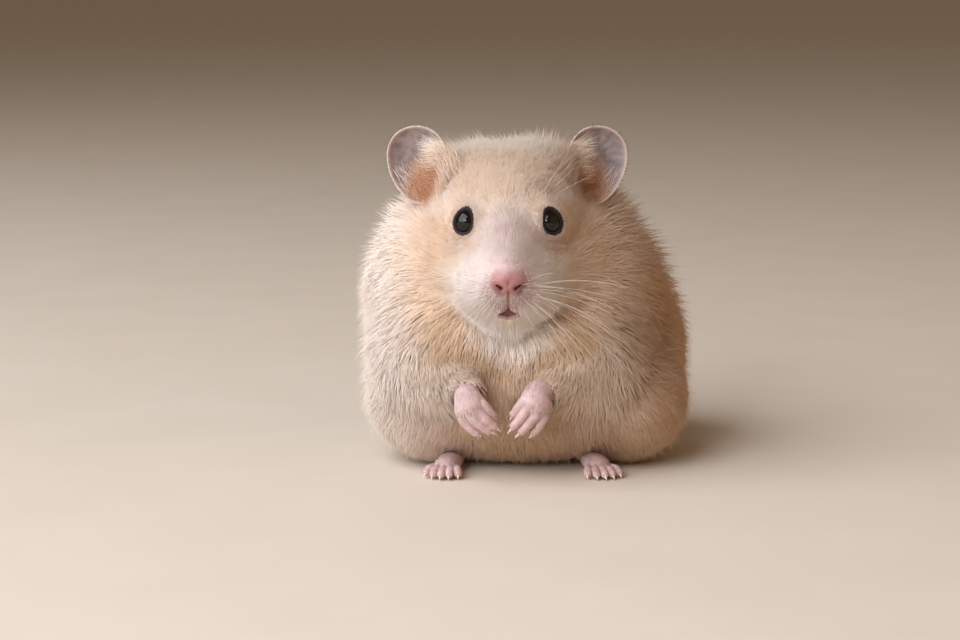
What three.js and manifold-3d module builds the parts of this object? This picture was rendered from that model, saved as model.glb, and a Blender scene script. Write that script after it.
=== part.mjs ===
// A Syrian hamster at life size, sitting up on its haunches with its forepaws held together below
// the chest. Millimetres, +Z up. The animal faces -Y and its own left side is +X. The origin is on
// the floor, on the flat under the belly and straight below the nose and the mouth. The body is one
// smooth form, out to the tips of the coat, and thin cuts part it where a person would name its parts.
import * as THREE from "three";
import { mergeVertices } from "three/addons/utils/BufferGeometryUtils.js";
import Module from "manifold-3d";

const wasm = await Module();
wasm.setup();

// ---- Driving dimensions -------------------------------------------------------------------------
const CUT = 0.3; // width of the gap between neighbouring pieces
const BODY_SEAT = 0.6; // how far the soft underside is pressed flat by the floor
const FACE_BLEND = 1.6; // rounding of the creases between the masses of the face
const BODY_BLEND = 2.6; // rounding of the creases between the masses of the body
const THROAT_BLEND = 1.4; // rounding where the head sits on the body
const FORM_CENTRE = [2, -6, 39]; // every point of the surface is seen from here
const FORM_REACH = 70; // farther from the centre than any point of the surface
const ARM_REACH = 45; // farther from the elbow than any point of the arm
const FORM_RINGS = 28;
const FORM_SEGMENTS = 40;
const CUTTER_RINGS = 8;
const CUTTER_SEGMENTS = 14;
const ARM_CUTTER_RINGS = 8;
const ARM_CUTTER_SEGMENTS = 12;
const DIGIT_SIDES = 6;

const EYE_RADIUS = 3.4;
const EYE_CENTRE = [9.1, -24.0, 59.6];
const EAR_HALF_WIDTH = 7.4;
const EAR_HALF_LENGTH = 9.4;
const EAR_CUP_DEPTH = 3.6;
const EAR_THICKNESS = 1.0;
const FINGER_RADIUS = 1.25;
const TOE_RADIUS = 1.15;
const CLAW_RADIUS = 0.42;

// The masses of the head, as ellipsoids [centre, radii]. "both" repeats one on the other side.
const HEAD_MASSES = [
  { name: "skull", centre: [0, -5, 59.3], radii: [19.5, 18.5, 16.6] },
  { name: "brow", centre: [6.0, -16.5, 60.3], radii: [10.2, 9.2, 9.0], both: true },
  { name: "muzzle", centre: [0, -31.8, 48.2], radii: [5.4, 6.6, 5.0] },
  { name: "whisker pad", centre: [4.9, -30.2, 45.2], radii: [5.4, 5.8, 4.9], both: true },
  { name: "chin", centre: [0, -28.2, 40.8], radii: [5.4, 5.4, 3.6] },
];
// The tapered masses of the head, each a ball that grows into another ball.
const HEAD_TAPERS = [
  { name: "forehead to nose", from: [0, -12, 60], r1: 14.6, to: [0, -30, 50.2], r2: 6.4 },
  { name: "cheek", from: [11.5, -9, 49], r1: 14.2, to: [4.8, -27.5, 47], r2: 7.0, both: true },
  { name: "jaw", from: [0, -8, 44], r1: 14.0, to: [0, -26, 43], r2: 6.4 },
];
// The body leans over to its own left, so its masses are not mirrored.
const BODY_MASSES = [
  { name: "nape", centre: [1.5, 7, 56.5], radii: [25.5, 21, 20.8] },
  { name: "shoulders", centre: [1.2, 2, 41.5], radii: [36.0, 25, 26] },
  { name: "back", centre: [7, 15, 40], radii: [29, 25, 26] },
  { name: "chest", centre: [-0.5, -8, 30], radii: [31.5, 20, 19] },
  { name: "belly", centre: [4, -3, 18.5], radii: [34, 27, 18.5] },
  { name: "rump", centre: [11, 12, 26], radii: [33.5, 28.5, 27] },
  { name: "left haunch", centre: [29, -5, 15], radii: [14.5, 20, 14.5] },
  { name: "right haunch", centre: [-18.5, -4, 16], radii: [14.5, 20, 15.5] },
];
const SHOULDER = { at: [17, -12, 35], r: 9.0 };
const ELBOW = { at: [20, -20, 26.5], r: 7.4 };
const WRIST = { at: [8.8, -31.5, 22], r: 3.9 };
const ARM_TAPERS = [
  { name: "upper arm", from: SHOULDER.at, r1: SHOULDER.r, to: ELBOW.at, r2: ELBOW.r, both: true },
  { name: "forearm", from: ELBOW.at, r1: ELBOW.r, to: WRIST.at, r2: WRIST.r, both: true },
];

// Where the body is parted: each region is an ellipsoid that one piece keeps.
const HEAD_REGION = { centre: [0, -16, 62], radii: [32, 30, 30] };
const NECK_REGION = { centre: [1, -10, 60], radii: [38.5, 36, 35] };
const HAUNCH_REGIONS = {
  left: { centre: [33, -8, 10], radii: [17, 24, 21] },
  right: { centre: [-23, -7, 10], radii: [16, 24, 21] },
};
const ARM_REGION_GROWTH = 2.4; // the arm's region reaches this far past the arm itself

// ---- Distances to the masses --------------------------------------------------------------------
const mirrored = ([x, y, z]) => [-x, y, z];
const minus = (a, b) => [a[0] - b[0], a[1] - b[1], a[2] - b[2]];
const dot = (a, b) => a[0] * b[0] + a[1] * b[1] + a[2] * b[2];

/** Distance to an ellipsoid, near enough for a smooth form: k0 (k0 - 1) / k1. */
function toEllipsoid(p, { centre, radii }) {
  const q = minus(p, centre);
  const k0 = Math.hypot(q[0] / radii[0], q[1] / radii[1], q[2] / radii[2]);
  const k1 = Math.hypot(q[0] / radii[0] ** 2, q[1] / radii[1] ** 2, q[2] / radii[2] ** 2);
  return (k0 * (k0 - 1)) / Math.max(k1, 1e-9);
}

/** Distance to two balls joined by the cone that touches both. */
function toTaper(p, { from, to, r1, r2 }) {
  const axis = minus(to, from);
  const l2 = dot(axis, axis);
  const dr = r1 - r2;
  const a2 = l2 - dr * dr;
  const pa = minus(p, from);
  const y = dot(pa, axis);
  const z = y - l2;
  const across = [0, 1, 2].map((i) => pa[i] * l2 - axis[i] * y);
  const x2 = dot(across, across);
  const k = Math.sign(dr) * dr * dr * x2;
  if (Math.sign(z) * a2 * z * z * l2 > k) return Math.sqrt(x2 + z * z * l2) / l2 - r2;
  if (Math.sign(y) * a2 * y * y * l2 < k) return Math.sqrt(x2 + y * y * l2) / l2 - r1;
  return (Math.sqrt((x2 * a2) / l2) + y * dr) / l2 - r1;
}

/** The smooth minimum of several distances: the logarithm of a sum of exponentials. */
function blended(distances, width) {
  const least = Math.min(...distances);
  return least - width * Math.log(distances.reduce((s, d) => s + Math.exp((least - d) / width), 0));
}

const withBothSides = (masses) =>
  masses.flatMap((m) => {
    if (!m.both) return [m];
    const other = { ...m };
    for (const key of ["centre", "from", "to"]) if (m[key]) other[key] = mirrored(m[key]);
    return [m, other];
  });
const headEllipsoids = withBothSides(HEAD_MASSES);
const headTapers = withBothSides(HEAD_TAPERS);
const armTapers = withBothSides(ARM_TAPERS);

/** Distance from the surface of the whole coat. */
function toForm(p) {
  const head = [
    ...headEllipsoids.map((m) => toEllipsoid(p, m)),
    ...headTapers.map((m) => toTaper(p, m)),
  ];
  const body = [
    ...BODY_MASSES.map((m) => toEllipsoid(p, m)),
    ...armTapers.map((m) => toTaper(p, m)),
  ];
  return blended([blended(head, FACE_BLEND), blended(body, BODY_BLEND)], THROAT_BLEND);
}

// ---- Making closed meshes -----------------------------------------------------------------------
/** A closed mesh from rings of points: the ends are closed by one point each. */
function closedRings(start, rings, end) {
  const count = rings[0].length;
  const points = [start, ...rings.flat(), end];
  const last = points.length - 1;
  const at = (ring, i) => 1 + ring * count + (i % count);
  const faces = [];
  for (let i = 0; i < count; i++) {
    faces.push(0, at(0, i + 1), at(0, i));
    for (let r = 0; r + 1 < rings.length; r++) {
      faces.push(at(r, i), at(r, i + 1), at(r + 1, i + 1));
      faces.push(at(r, i), at(r + 1, i + 1), at(r + 1, i));
    }
    faces.push(last, at(rings.length - 1, i), at(rings.length - 1, i + 1));
  }
  const geometry = new THREE.BufferGeometry();
  geometry.setAttribute("position", new THREE.Float32BufferAttribute(points.flat(), 3));
  geometry.setIndex(faces);
  return geometry;
}

/** The surface where distance(p) is zero, seen from a centre, with its poles along -Y and +Y. */
function surfaceAround(centre, distance, rings, segments, reach) {
  const outermost = (direction) => {
    const at = (t) => centre.map((c, i) => c + direction[i] * t);
    let outside = reach;
    let inside = reach;
    while (inside > 0 && distance(at(inside)) > 0) {
      outside = inside;
      inside -= 1;
    }
    for (let i = 0; i < 14; i++) {
      const middle = (inside + outside) / 2;
      if (distance(at(middle)) > 0) outside = middle;
      else inside = middle;
    }
    return at((inside + outside) / 2);
  };
  const circles = [];
  for (let r = 1; r < rings; r++) {
    const polar = (Math.PI * r) / rings;
    circles.push(
      Array.from({ length: segments }, (_, i) => {
        const turn = (2 * Math.PI * i) / segments;
        const out = Math.sin(polar);
        return outermost([out * Math.cos(turn), -Math.cos(polar), out * Math.sin(turn)]);
      }),
    );
  }
  return closedRings(outermost([0, -1, 0]), circles, outermost([0, 1, 0]));
}

const EYE_DETAIL = [12, 9];

/** An ellipsoid as a mesh. */
function ellipsoid(centre, radii, [segments, rings] = [CUTTER_SEGMENTS, CUTTER_RINGS]) {
  return new THREE.SphereGeometry(1, segments, rings)
    .scale(...radii)
    .rotateX(Math.PI / 2)
    .translate(...centre);
}

/** A round tube through stations [x, y, z, radius], with pointed ends. */
function taperedTube(stations, sides) {
  const points = stations.map((s) => new THREE.Vector3(...s));
  const across = new THREE.Vector3();
  const up = new THREE.Vector3();
  const rings = points.slice(1, -1).map((p, i) => {
    const along = points[i + 2].clone().sub(points[i]).normalize();
    up.set(0, 0, 1).addScaledVector(along, -along.z);
    if (up.lengthSq() < 0.05) up.set(0, 1, 0).addScaledVector(along, -along.y);
    up.normalize();
    across.crossVectors(along, up);
    return Array.from({ length: sides }, (_, k) => {
      const turn = (2 * Math.PI * k) / sides;
      return p
        .clone()
        .addScaledVector(across, Math.cos(turn) * stations[i + 1][3])
        .addScaledVector(up, Math.sin(turn) * stations[i + 1][3])
        .toArray();
    });
  });
  return closedRings(points[0].toArray(), rings, points.at(-1).toArray());
}

/** A geometry as a manifold-3d solid, facing outwards. */
function solid(geometry) {
  const plain = geometry.clone();
  plain.deleteAttribute("normal");
  plain.deleteAttribute("uv");
  const merged = mergeVertices(plain, 1e-4);
  const build = (triVerts) =>
    new wasm.Manifold(
      new wasm.Mesh({
        numProp: 3,
        vertProperties: new Float32Array(merged.attributes.position.array),
        triVerts,
      }),
    );
  const faces = new Uint32Array(merged.index.array);
  const made = build(faces);
  if (made.volume() > 0) return made;
  for (let i = 0; i < faces.length; i += 3) [faces[i], faces[i + 1]] = [faces[i + 1], faces[i]];
  return build(faces);
}

/** The largest body of a solid: a cut may leave a crumb beside it. */
const mainBody = (shape) =>
  shape.decompose().reduce((best, body) => (body.volume() > best.volume() ? body : best));

/** A solid back as a three.js geometry. */
function geometryOf(shape) {
  const mesh = shape.getMesh();
  const geometry = new THREE.BufferGeometry();
  geometry.setAttribute("position", new THREE.BufferAttribute(mesh.vertProperties, 3));
  geometry.setIndex(new THREE.BufferAttribute(mesh.triVerts, 1));
  return geometry;
}

// ---- The whole form and its regions -------------------------------------------------------------
const aboveFloor = solid(new THREE.BoxGeometry(300, 300, 200).translate(0, 0, 100));
const lowered = (p) => [p[0], p[1], p[2] + BODY_SEAT];
const formGrownBy = (growth) =>
  solid(
    surfaceAround(
      FORM_CENTRE,
      (p) => toForm(lowered(p)) - growth,
      FORM_RINGS,
      FORM_SEGMENTS,
      FORM_REACH,
    ),
  );
const form = formGrownBy(0).intersect(aboveFloor);
const formWithGap = formGrownBy(CUT);

const regionSolid = ({ centre, radii }, growth = 0) =>
  solid(ellipsoid(centre, radii.map((r) => r + growth)));
function armRegion(side, growth = 0) {
  const flip = side === "left" ? (p) => p : mirrored;
  const toArm = (p) => Math.min(...ARM_TAPERS.map((m) => toTaper(flip(p), m)));
  const toRegion = (p) => toArm(p) - ARM_REGION_GROWTH - growth;
  return solid(
    surfaceAround(flip(ELBOW.at), toRegion, ARM_CUTTER_RINGS, ARM_CUTTER_SEGMENTS, ARM_REACH),
  );
}

const sides = ["left", "right"];
const signOf = { left: 1, right: -1 };
const onSide = (side, p) => (side === "left" ? p : mirrored(p));

const eyeSocket = (side) =>
  solid(ellipsoid(onSide(side, EYE_CENTRE), Array(3).fill(EYE_RADIUS + CUT), EYE_DETAIL));

const pieces = {};
let head = form.intersect(regionSolid(HEAD_REGION));
for (const side of sides) head = head.subtract(eyeSocket(side));
pieces.head = mainBody(head);

const headWithGap = regionSolid(HEAD_REGION, CUT);
const neckWithGap = regionSolid(NECK_REGION, CUT);
const armsWithGap = armRegion("left", CUT).add(armRegion("right", CUT));
pieces.neck = mainBody(
  form.intersect(regionSolid(NECK_REGION)).subtract(headWithGap).subtract(armsWithGap),
);
for (const side of sides) {
  const arm = form.intersect(armRegion(side));
  pieces["foreleg_" + side] = mainBody(arm.subtract(headWithGap));
  const haunch = form.intersect(regionSolid(HAUNCH_REGIONS[side]));
  pieces["hindleg_" + side] = mainBody(haunch.subtract(armsWithGap).subtract(neckWithGap));
}
let trunk = form.subtract(neckWithGap).subtract(headWithGap).subtract(armsWithGap);
for (const side of sides) trunk = trunk.subtract(regionSolid(HAUNCH_REGIONS[side], CUT));
pieces.trunk = mainBody(trunk);

// ---- Eyes and nose ------------------------------------------------------------------------------
for (const side of sides) {
  const centre = onSide(side, EYE_CENTRE);
  pieces["eye_" + side] = solid(ellipsoid(centre, Array(3).fill(EYE_RADIUS), EYE_DETAIL));
}
const NOSE = { centre: [0, -36.6, 48.4], radii: [3.4, 3.3, 3.1] };
pieces.nose = mainBody(solid(ellipsoid(NOSE.centre, NOSE.radii, [14, 10])).subtract(formWithGap));

// ---- Ears ---------------------------------------------------------------------------------------
// Each ear is a cupped leaf: an oval outline, hollow in front, with its rim turned a little forward.
const EAR_CENTRE = [21.4, -7.2, 72.0];
const EAR_LEAN = 0.12; // the tip leans outwards, in radians
const EAR_TURN = 0.3; // the opening turns outwards, in radians
const EAR_RINGS = 4;
const EAR_SEGMENTS = 20;

function earGeometry(side) {
  const leaf = (share, turn, back) => {
    const a = share * EAR_HALF_WIDTH * Math.cos(turn) * (1 + 0.1 * Math.sin(turn));
    const b = share * EAR_HALF_LENGTH * Math.sin(turn) * (1 - 0.08 * Math.sin(turn));
    const sink = EAR_CUP_DEPTH * (1 - share ** 2.2) + (back ? EAR_THICKNESS : 0);
    return new THREE.Vector3(a, sink, b);
  };
  const ring = (share, back) =>
    Array.from({ length: EAR_SEGMENTS }, (_, i) =>
      leaf(share, (2 * Math.PI * i) / EAR_SEGMENTS, back),
    );
  const shares = Array.from({ length: EAR_RINGS }, (_, i) => (i + 1) / EAR_RINGS);
  const rings = [...shares.map((s) => ring(s, false)), ...shares.reverse().map((s) => ring(s, true))];
  const place = (v) =>
    v
      .applyAxisAngle(new THREE.Vector3(0, 1, 0), EAR_LEAN)
      .applyAxisAngle(new THREE.Vector3(0, 0, 1), EAR_TURN)
      .toArray()
      .map((c, i) => c + EAR_CENTRE[i]);
  const mirrorIfRight = (p) => onSide(side, p);
  return closedRings(
    mirrorIfRight(place(leaf(0, 0, false))),
    rings.map((r) => r.map((v) => mirrorIfRight(place(v)))),
    mirrorIfRight(place(leaf(0, 0, true))),
  );
}
for (const side of sides) {
  pieces["ear_" + side] = mainBody(solid(earGeometry(side)).subtract(formWithGap));
}

// ---- Forepaws -----------------------------------------------------------------------------------
// The hands hang from the wrists, backs forward, fingers curling down and in towards each other.
const HANDS = {
  left: {
    palm: [
      [7.4, -33.2, 22.4, 0.4],
      [6.9, -34.4, 21.4, 3.3],
      [6.2, -35.4, 18.9, 4.1],
      [5.6, -35.6, 16.4, 0.3],
    ],
    fingers: [
      { knuckle: [4.0, -36.2, 20.3], middle: [2.1, -36.9, 18.3], tip: [0.6, -35.6, 15.9] },
      { knuckle: [4.9, -36.9, 18.9], middle: [2.9, -37.9, 16.3], tip: [0.2, -37.0, 13.1] },
      { knuckle: [6.6, -37.0, 17.3], middle: [4.6, -37.9, 14.8], tip: [1.9, -37.0, 12.0] },
      { knuckle: [8.3, -36.0, 16.6], middle: [7.0, -37.0, 14.2], tip: [5.0, -36.2, 11.8] },
    ],
  },
  right: {
    palm: [
      [-9.9, -33.2, 21.8, 0.4],
      [-9.3, -34.4, 20.6, 3.3],
      [-8.5, -35.4, 18.2, 4.1],
      [-7.8, -35.6, 15.7, 0.3],
    ],
    fingers: [
      { knuckle: [-6.0, -36.2, 19.4], middle: [-4.4, -36.9, 17.8], tip: [-2.9, -35.6, 16.0] },
      { knuckle: [-7.1, -36.9, 18.0], middle: [-4.9, -37.9, 15.8], tip: [-2.1, -37.0, 13.4] },
      { knuckle: [-8.7, -37.0, 16.7], middle: [-6.4, -37.9, 14.5], tip: [-3.2, -37.0, 12.6] },
      { knuckle: [-10.2, -36.0, 15.6], middle: [-8.6, -37.0, 13.6], tip: [-6.3, -36.2, 12.0] },
    ],
  },
};

/** A digit from its knuckle to its claw: a bent tapered tube whose last fifth is the claw. */
function digit({ knuckle, middle, tip }, radius) {
  const bend = new THREE.QuadraticBezierCurve3(
    new THREE.Vector3(...knuckle),
    new THREE.Vector3(...middle),
    new THREE.Vector3(...tip),
  );
  const profile = [
    [-0.28, 0.1],
    [-0.16, 0.8 * radius],
    [0.1, radius],
    [0.5, 0.94 * radius],
    [0.78, 0.8 * radius],
    [0.88, CLAW_RADIUS],
    [1.0, 0.05],
  ];
  const start = bend.getPoint(0);
  const heading = bend.getTangent(0);
  const length = bend.getLength();
  return taperedTube(
    profile.map(([share, r]) => {
      const behind = start.clone().addScaledVector(heading, share * length);
      const p = share < 0 ? behind : bend.getPoint(share);
      return [...p.toArray(), r];
    }),
    DIGIT_SIDES,
  );
}

for (const side of sides) {
  const { palm, fingers } = HANDS[side];
  let paw = solid(taperedTube(palm, 10));
  for (const finger of fingers) paw = paw.add(solid(digit(finger, FINGER_RADIUS)));
  pieces["forepaw_" + side] = mainBody(paw.subtract(formWithGap));
}

// ---- Hind feet and tail -------------------------------------------------------------------------
// Each hind foot lies flat on the floor, pointing forward and a little out.
const FOOT_HEELS = { left: [19, -12, 0], right: [-12, -12, 0] };
const FOOT_LENGTH = 13; // from the heel to the roots of the toes
const FOOT_HALF_WIDTH = 3.0;
const FOOT_HEIGHT = 2.3; // of the middle of the foot above its sole
const TOE_LENGTH = 6.0;
const TOE_COUNT = 5;
const FOOT_SPLAY = 0.2; // radians

for (const side of sides) {
  const [x, y] = FOOT_HEELS[side];
  const splay = signOf[side] * FOOT_SPLAY;
  const forward = [Math.sin(splay), -Math.cos(splay)];
  const outward = [Math.cos(splay), Math.sin(splay)];
  const at = (along, across, z) => [
    x + forward[0] * along + outward[0] * across,
    y + forward[1] * along + outward[1] * across,
    z,
  ];
  let foot = solid(
    taperedTube(
      [
        [...at(-1, 0, FOOT_HEIGHT), 0.2],
        [...at(1, 0, FOOT_HEIGHT), 2.3],
        [...at(0.5 * FOOT_LENGTH, 0, FOOT_HEIGHT), FOOT_HALF_WIDTH],
        [...at(FOOT_LENGTH, 0, FOOT_HEIGHT), FOOT_HALF_WIDTH],
        [...at(FOOT_LENGTH + 1.5, 0, 0.8 * FOOT_HEIGHT), 0.2],
      ],
      10,
    ),
  );
  for (let i = 0; i < TOE_COUNT; i++) {
    const place = i / (TOE_COUNT - 1) - 0.5; // -0.5 is the innermost toe and 0.5 the outermost
    const reach = TOE_LENGTH * (1 - 1.1 * place * place);
    const toe = {
      knuckle: at(FOOT_LENGTH, place * 5.2, 1.7),
      middle: at(FOOT_LENGTH + 0.6 * reach, place * 7.2, 2.3),
      tip: at(FOOT_LENGTH + reach, place * 8.0, 0.45),
    };
    foot = foot.add(solid(digit(toe, TOE_RADIUS)));
  }
  pieces["hindfoot_" + side] = mainBody(foot.subtract(formWithGap).intersect(aboveFloor));
}

const TAIL_STATIONS = [
  [12, 22, 4.2, 0.3],
  [12.3, 27, 3.6, 3.4],
  [12.8, 32, 2.4, 2.9],
  [13.6, 36, 1.8, 2.3],
  [14.5, 39, 1.3, 1.6],
  [15.2, 40.6, 0.9, 0.1],
];
pieces.tail = mainBody(
  solid(taperedTube(TAIL_STATIONS, 12)).subtract(formWithGap).intersect(aboveFloor),
);

// ---- The scene graph ----------------------------------------------------------------------------
const matt = (color, roughness) => new THREE.MeshStandardMaterial({ color, roughness, metalness: 0 });
const COAT = matt(0xe6c6a4, 0.95);
const PALE_COAT = matt(0xede0d2, 0.95);
const EAR_SKIN = matt(0x9c867e, 0.7);
const PINK_SKIN = matt(0xd8a9a0, 0.6);
const EYE = matt(0x120e0c, 0.08);
const MATERIAL_OF = {
  ear: EAR_SKIN,
  eye: EYE,
  nose: PINK_SKIN,
  forepaw: PINK_SKIN,
  hindfoot: PINK_SKIN,
  tail: PINK_SKIN,
  neck: PALE_COAT,
};

const hamster = new THREE.Group();
for (const [name, shape] of Object.entries(pieces)) {
  const mesh = new THREE.Mesh(geometryOf(shape), MATERIAL_OF[name.split("_")[0]] ?? COAT);
  mesh.name = name;
  hamster.add(mesh);
}

export default hamster;
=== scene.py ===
# %% [markdown]
# # A Syrian hamster in fur
# A hamster is mostly coat: the body under it is slim, and the soft outline is made by the tips of
# the hairs. So this scene has two surfaces. The solids of the frame reach out to the tips. The skin
# is the same form made thinner by the depth of the coat, and tufts of mesh grow from the skin until
# they reach the outer form. First the frame is loaded, and its box is kept for later.

import math
from functools import partial

import bpy
import numpy as np
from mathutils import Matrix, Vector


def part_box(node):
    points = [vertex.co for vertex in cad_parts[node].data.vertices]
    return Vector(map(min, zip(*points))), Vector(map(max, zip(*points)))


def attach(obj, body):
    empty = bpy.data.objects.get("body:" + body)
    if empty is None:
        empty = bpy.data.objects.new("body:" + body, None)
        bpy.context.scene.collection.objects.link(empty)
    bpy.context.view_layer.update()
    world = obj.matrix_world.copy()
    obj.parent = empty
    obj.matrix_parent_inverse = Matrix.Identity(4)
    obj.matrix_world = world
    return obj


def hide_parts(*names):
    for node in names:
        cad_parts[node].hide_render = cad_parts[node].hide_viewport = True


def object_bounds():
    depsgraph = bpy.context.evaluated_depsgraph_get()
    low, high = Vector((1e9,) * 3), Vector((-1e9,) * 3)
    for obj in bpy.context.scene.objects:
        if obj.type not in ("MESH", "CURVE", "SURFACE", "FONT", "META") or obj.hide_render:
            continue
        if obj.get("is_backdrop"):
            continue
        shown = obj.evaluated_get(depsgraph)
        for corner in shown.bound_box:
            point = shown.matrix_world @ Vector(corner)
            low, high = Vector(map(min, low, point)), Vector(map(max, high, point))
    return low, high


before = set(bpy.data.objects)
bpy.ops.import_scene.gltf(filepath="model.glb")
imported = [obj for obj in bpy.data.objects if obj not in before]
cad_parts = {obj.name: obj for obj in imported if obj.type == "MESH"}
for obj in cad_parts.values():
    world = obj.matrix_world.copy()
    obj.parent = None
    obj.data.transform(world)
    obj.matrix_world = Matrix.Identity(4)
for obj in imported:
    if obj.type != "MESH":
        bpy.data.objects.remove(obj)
cad_low, cad_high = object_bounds()
print("nodes in the frame:", len(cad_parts))

# %% [markdown]
# ## The camera
# The view is a little above the animal, as of someone who sits in front of it. A long lens keeps
# the muzzle from looking too big. All sizes below are in millimetres, and MM turns them into metres.

# %% Camera
MM = 0.001
CAMERA_PLACE = (-6.44, -543.5, 119.1)
CAMERA_DOWN = 9.0  # degrees below the horizon
CAMERA_LENS = 85.0

camera_data = bpy.data.cameras.new("camera")
camera_data.lens = CAMERA_LENS
camera_data.sensor_width = 36.0
camera_data.clip_start = 0.01
camera = bpy.data.objects.new("camera", camera_data)
camera.location = [c * MM for c in CAMERA_PLACE]
camera.rotation_euler = (math.radians(90 - CAMERA_DOWN), 0, 0)
bpy.context.collection.objects.link(camera)
bpy.context.scene.camera = camera

# %% [markdown]
# ## The form of the animal
# The body is a sum of soft masses: ellipsoids and tapers (two balls joined by the cone that touches
# both). Each mass has a coat depth. With the full radii the masses give the tips of the coat, and
# with the coat depth taken off they give the skin. The masses are blended by a smooth minimum, the
# logarithm of a sum of exponentials, which rounds the creases between them.

# %% The masses of the body
FACE_BLEND, BODY_BLEND, THROAT_BLEND, ARM_BLEND = 1.6, 2.6, 1.8, 5.0
BODY_SEAT = 0.6  # how far the soft underside is pressed flat by the floor

# name: centre, radii, coat depth, on both sides
HEAD_BALLS = {
    "skull": ((0, -5, 59.3), (19.5, 18.5, 16.6), 2.4, False),
    "brow": ((6.0, -16.5, 60.3), (10.2, 9.2, 9.0), 1.4, True),
    "muzzle": ((0, -31.8, 48.2), (5.4, 6.6, 5.0), 0.8, False),
    "whisker pad": ((4.9, -30.2, 45.2), (5.4, 5.8, 4.9), 1.1, True),
    "chin": ((0, -28.2, 40.8), (5.4, 5.4, 3.6), 1.3, False),
}
# name: first centre, radius, coat depth, second centre, radius, coat depth, on both sides
HEAD_TAPERS = {
    "forehead to nose": ((0, -12, 60), 14.6, 2.0, (0, -30, 50.2), 6.4, 1.0, False),
    "cheek": ((11.5, -9, 49), 14.2, 4.2, (4.8, -27.5, 47), 7.0, 1.5, True),
    "jaw": ((0, -8, 44), 14.0, 4.0, (0, -26, 43), 6.4, 1.6, False),
}
BODY_BALLS = {
    "nape": ((1.5, 7, 56.5), (25.5, 21, 20.8), 3.8, False),
    "shoulders": ((1.2, 2, 41.5), (36.0, 25, 26), 3.8, False),
    "back": ((7, 15, 40), (29, 25, 26), 3.8, False),
    "chest": ((-0.5, -8, 30), (31.5, 20, 19), 3.4, False),
    "belly": ((4, -3, 18.5), (34, 27, 18.5), 3.2, False),
    "rump": ((11, 12, 26), (33.5, 28.5, 27), 3.8, False),
    "left haunch": ((29, -5, 15), (14.5, 20, 14.5), 3.2, False),
    "right haunch": ((-18.5, -4, 16), (14.5, 20, 15.5), 3.2, False),
}
SHOULDER = ((17, -12, 35), 9.0, 3.5)
ELBOW = ((20, -20, 26.5), 7.4, 3.0)
WRIST = ((8.8, -31.5, 22), 3.9, 1.6)
ARM_TAPERS = {
    "upper arm": (*SHOULDER, *ELBOW, True),
    "forearm": (*ELBOW, *WRIST, True),
}

# %% [markdown]
# A distance says how far a place is from a surface: it is less than 0 inside. With distances, a
# blend, a thinner body and the way a surface faces are each one short formula.


# %% Distances to the masses
def both_sides(rows):
    """The rows of a table without the last entry, repeated with x turned round where it is True."""
    flip = np.array([-1.0, 1.0, 1.0])
    kept = []
    for *values, paired in rows.values():
        values = [np.array(v, float) for v in values]
        kept.append(values)
        if paired:
            kept.append([v * flip if v.shape and i in (0, 3) else v for i, v in enumerate(values)])
    return kept


def named(kind, table):
    """The rows of a table for both sides, each with the kind of its mass."""
    return [(kind, row) for row in both_sides(table)]


HEAD_PARTS = named("ball", HEAD_BALLS) + named("taper", HEAD_TAPERS)
TRUNK_PARTS = named("ball", BODY_BALLS)
ARM_PARTS = named("taper", ARM_TAPERS)


def to_ball(p, centre, radii):
    """Distance to an ellipsoid: k0 (k0 - 1) / k1, where k0 is |p / r| and k1 is |p / r squared|."""
    q = p - centre
    k0 = np.sqrt(((q / radii) ** 2).sum(-1))
    k1 = np.sqrt(((q / radii**2) ** 2).sum(-1))
    return k0 * (k0 - 1) / np.maximum(k1, 1e-9)


def to_taper(p, a, ra, b, rb):
    """Distance to two balls and the cone that touches both."""
    axis = b - a
    l2 = axis @ axis
    dr = ra - rb
    a2 = l2 - dr * dr
    pa = p - a
    y = pa @ axis
    z = y - l2
    x2 = ((pa * l2 - axis * y[..., None]) ** 2).sum(-1)
    k = np.sign(dr) * dr * dr * x2
    side = (np.sqrt(x2 * a2 / l2) + y * dr) / l2 - ra
    near_b = np.sign(z) * a2 * z * z * l2 > k
    near_a = np.sign(y) * a2 * y * y * l2 < k
    end_b = np.sqrt(x2 + z * z * l2) / l2 - rb
    end_a = np.sqrt(x2 + y * y * l2) / l2 - ra
    return np.where(near_b, end_b, np.where(near_a, end_a, side))


def blended_parts(p, parts, coat, width):
    """Smooth minimum of the distances to parts, their radii less coat times their coat depth."""
    total = 0.0
    for kind, row in parts:
        if kind == "ball":
            centre, radii, depth = row
            distance = to_ball(p, centre, radii - coat * depth)
        else:
            a, ra, da, b, rb, db = row
            distance = to_taper(p, a, ra - coat * da, b, rb - coat * db)
        total = total + np.exp(-distance / width)
    return -width * np.log(total)


def blended(a, b, width):
    """Smooth minimum of two distances."""
    return -width * np.log(np.exp(-a / width) + np.exp(-b / width))


def to_form(p, coat=0.0, arms=True):
    """Distance in mm to the tips of the coat (coat 0), to the skin (coat 1), or to a layer between them."""
    p = p + np.array([0, 0, BODY_SEAT])
    head = blended_parts(p, HEAD_PARTS, coat, FACE_BLEND)
    body = blended_parts(p, TRUNK_PARTS, coat, BODY_BLEND)
    if arms:
        arm = blended_parts(p, ARM_PARTS, coat, BODY_BLEND)
        body = blended(body, arm, ARM_BLEND)
    return blended(head, body, THROAT_BLEND)


def norms(v):
    """Length of each vector."""
    return np.linalg.norm(v, axis=-1)


def unit(v):
    """Vectors made one long."""
    return v / np.maximum(np.linalg.norm(v, axis=-1, keepdims=True), 1e-12)


def slope_of(distance, p, step=0.25):
    """The outward normal of a layer: the slope of its distance."""
    return unit(np.stack([distance(p + step * e) - distance(p - step * e) for e in np.eye(3)], -1))


def outward(p, coat=0.0):
    """The outward normal of the form, less this share of its coat."""
    return slope_of(lambda q: to_form(q, coat), p)


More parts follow.
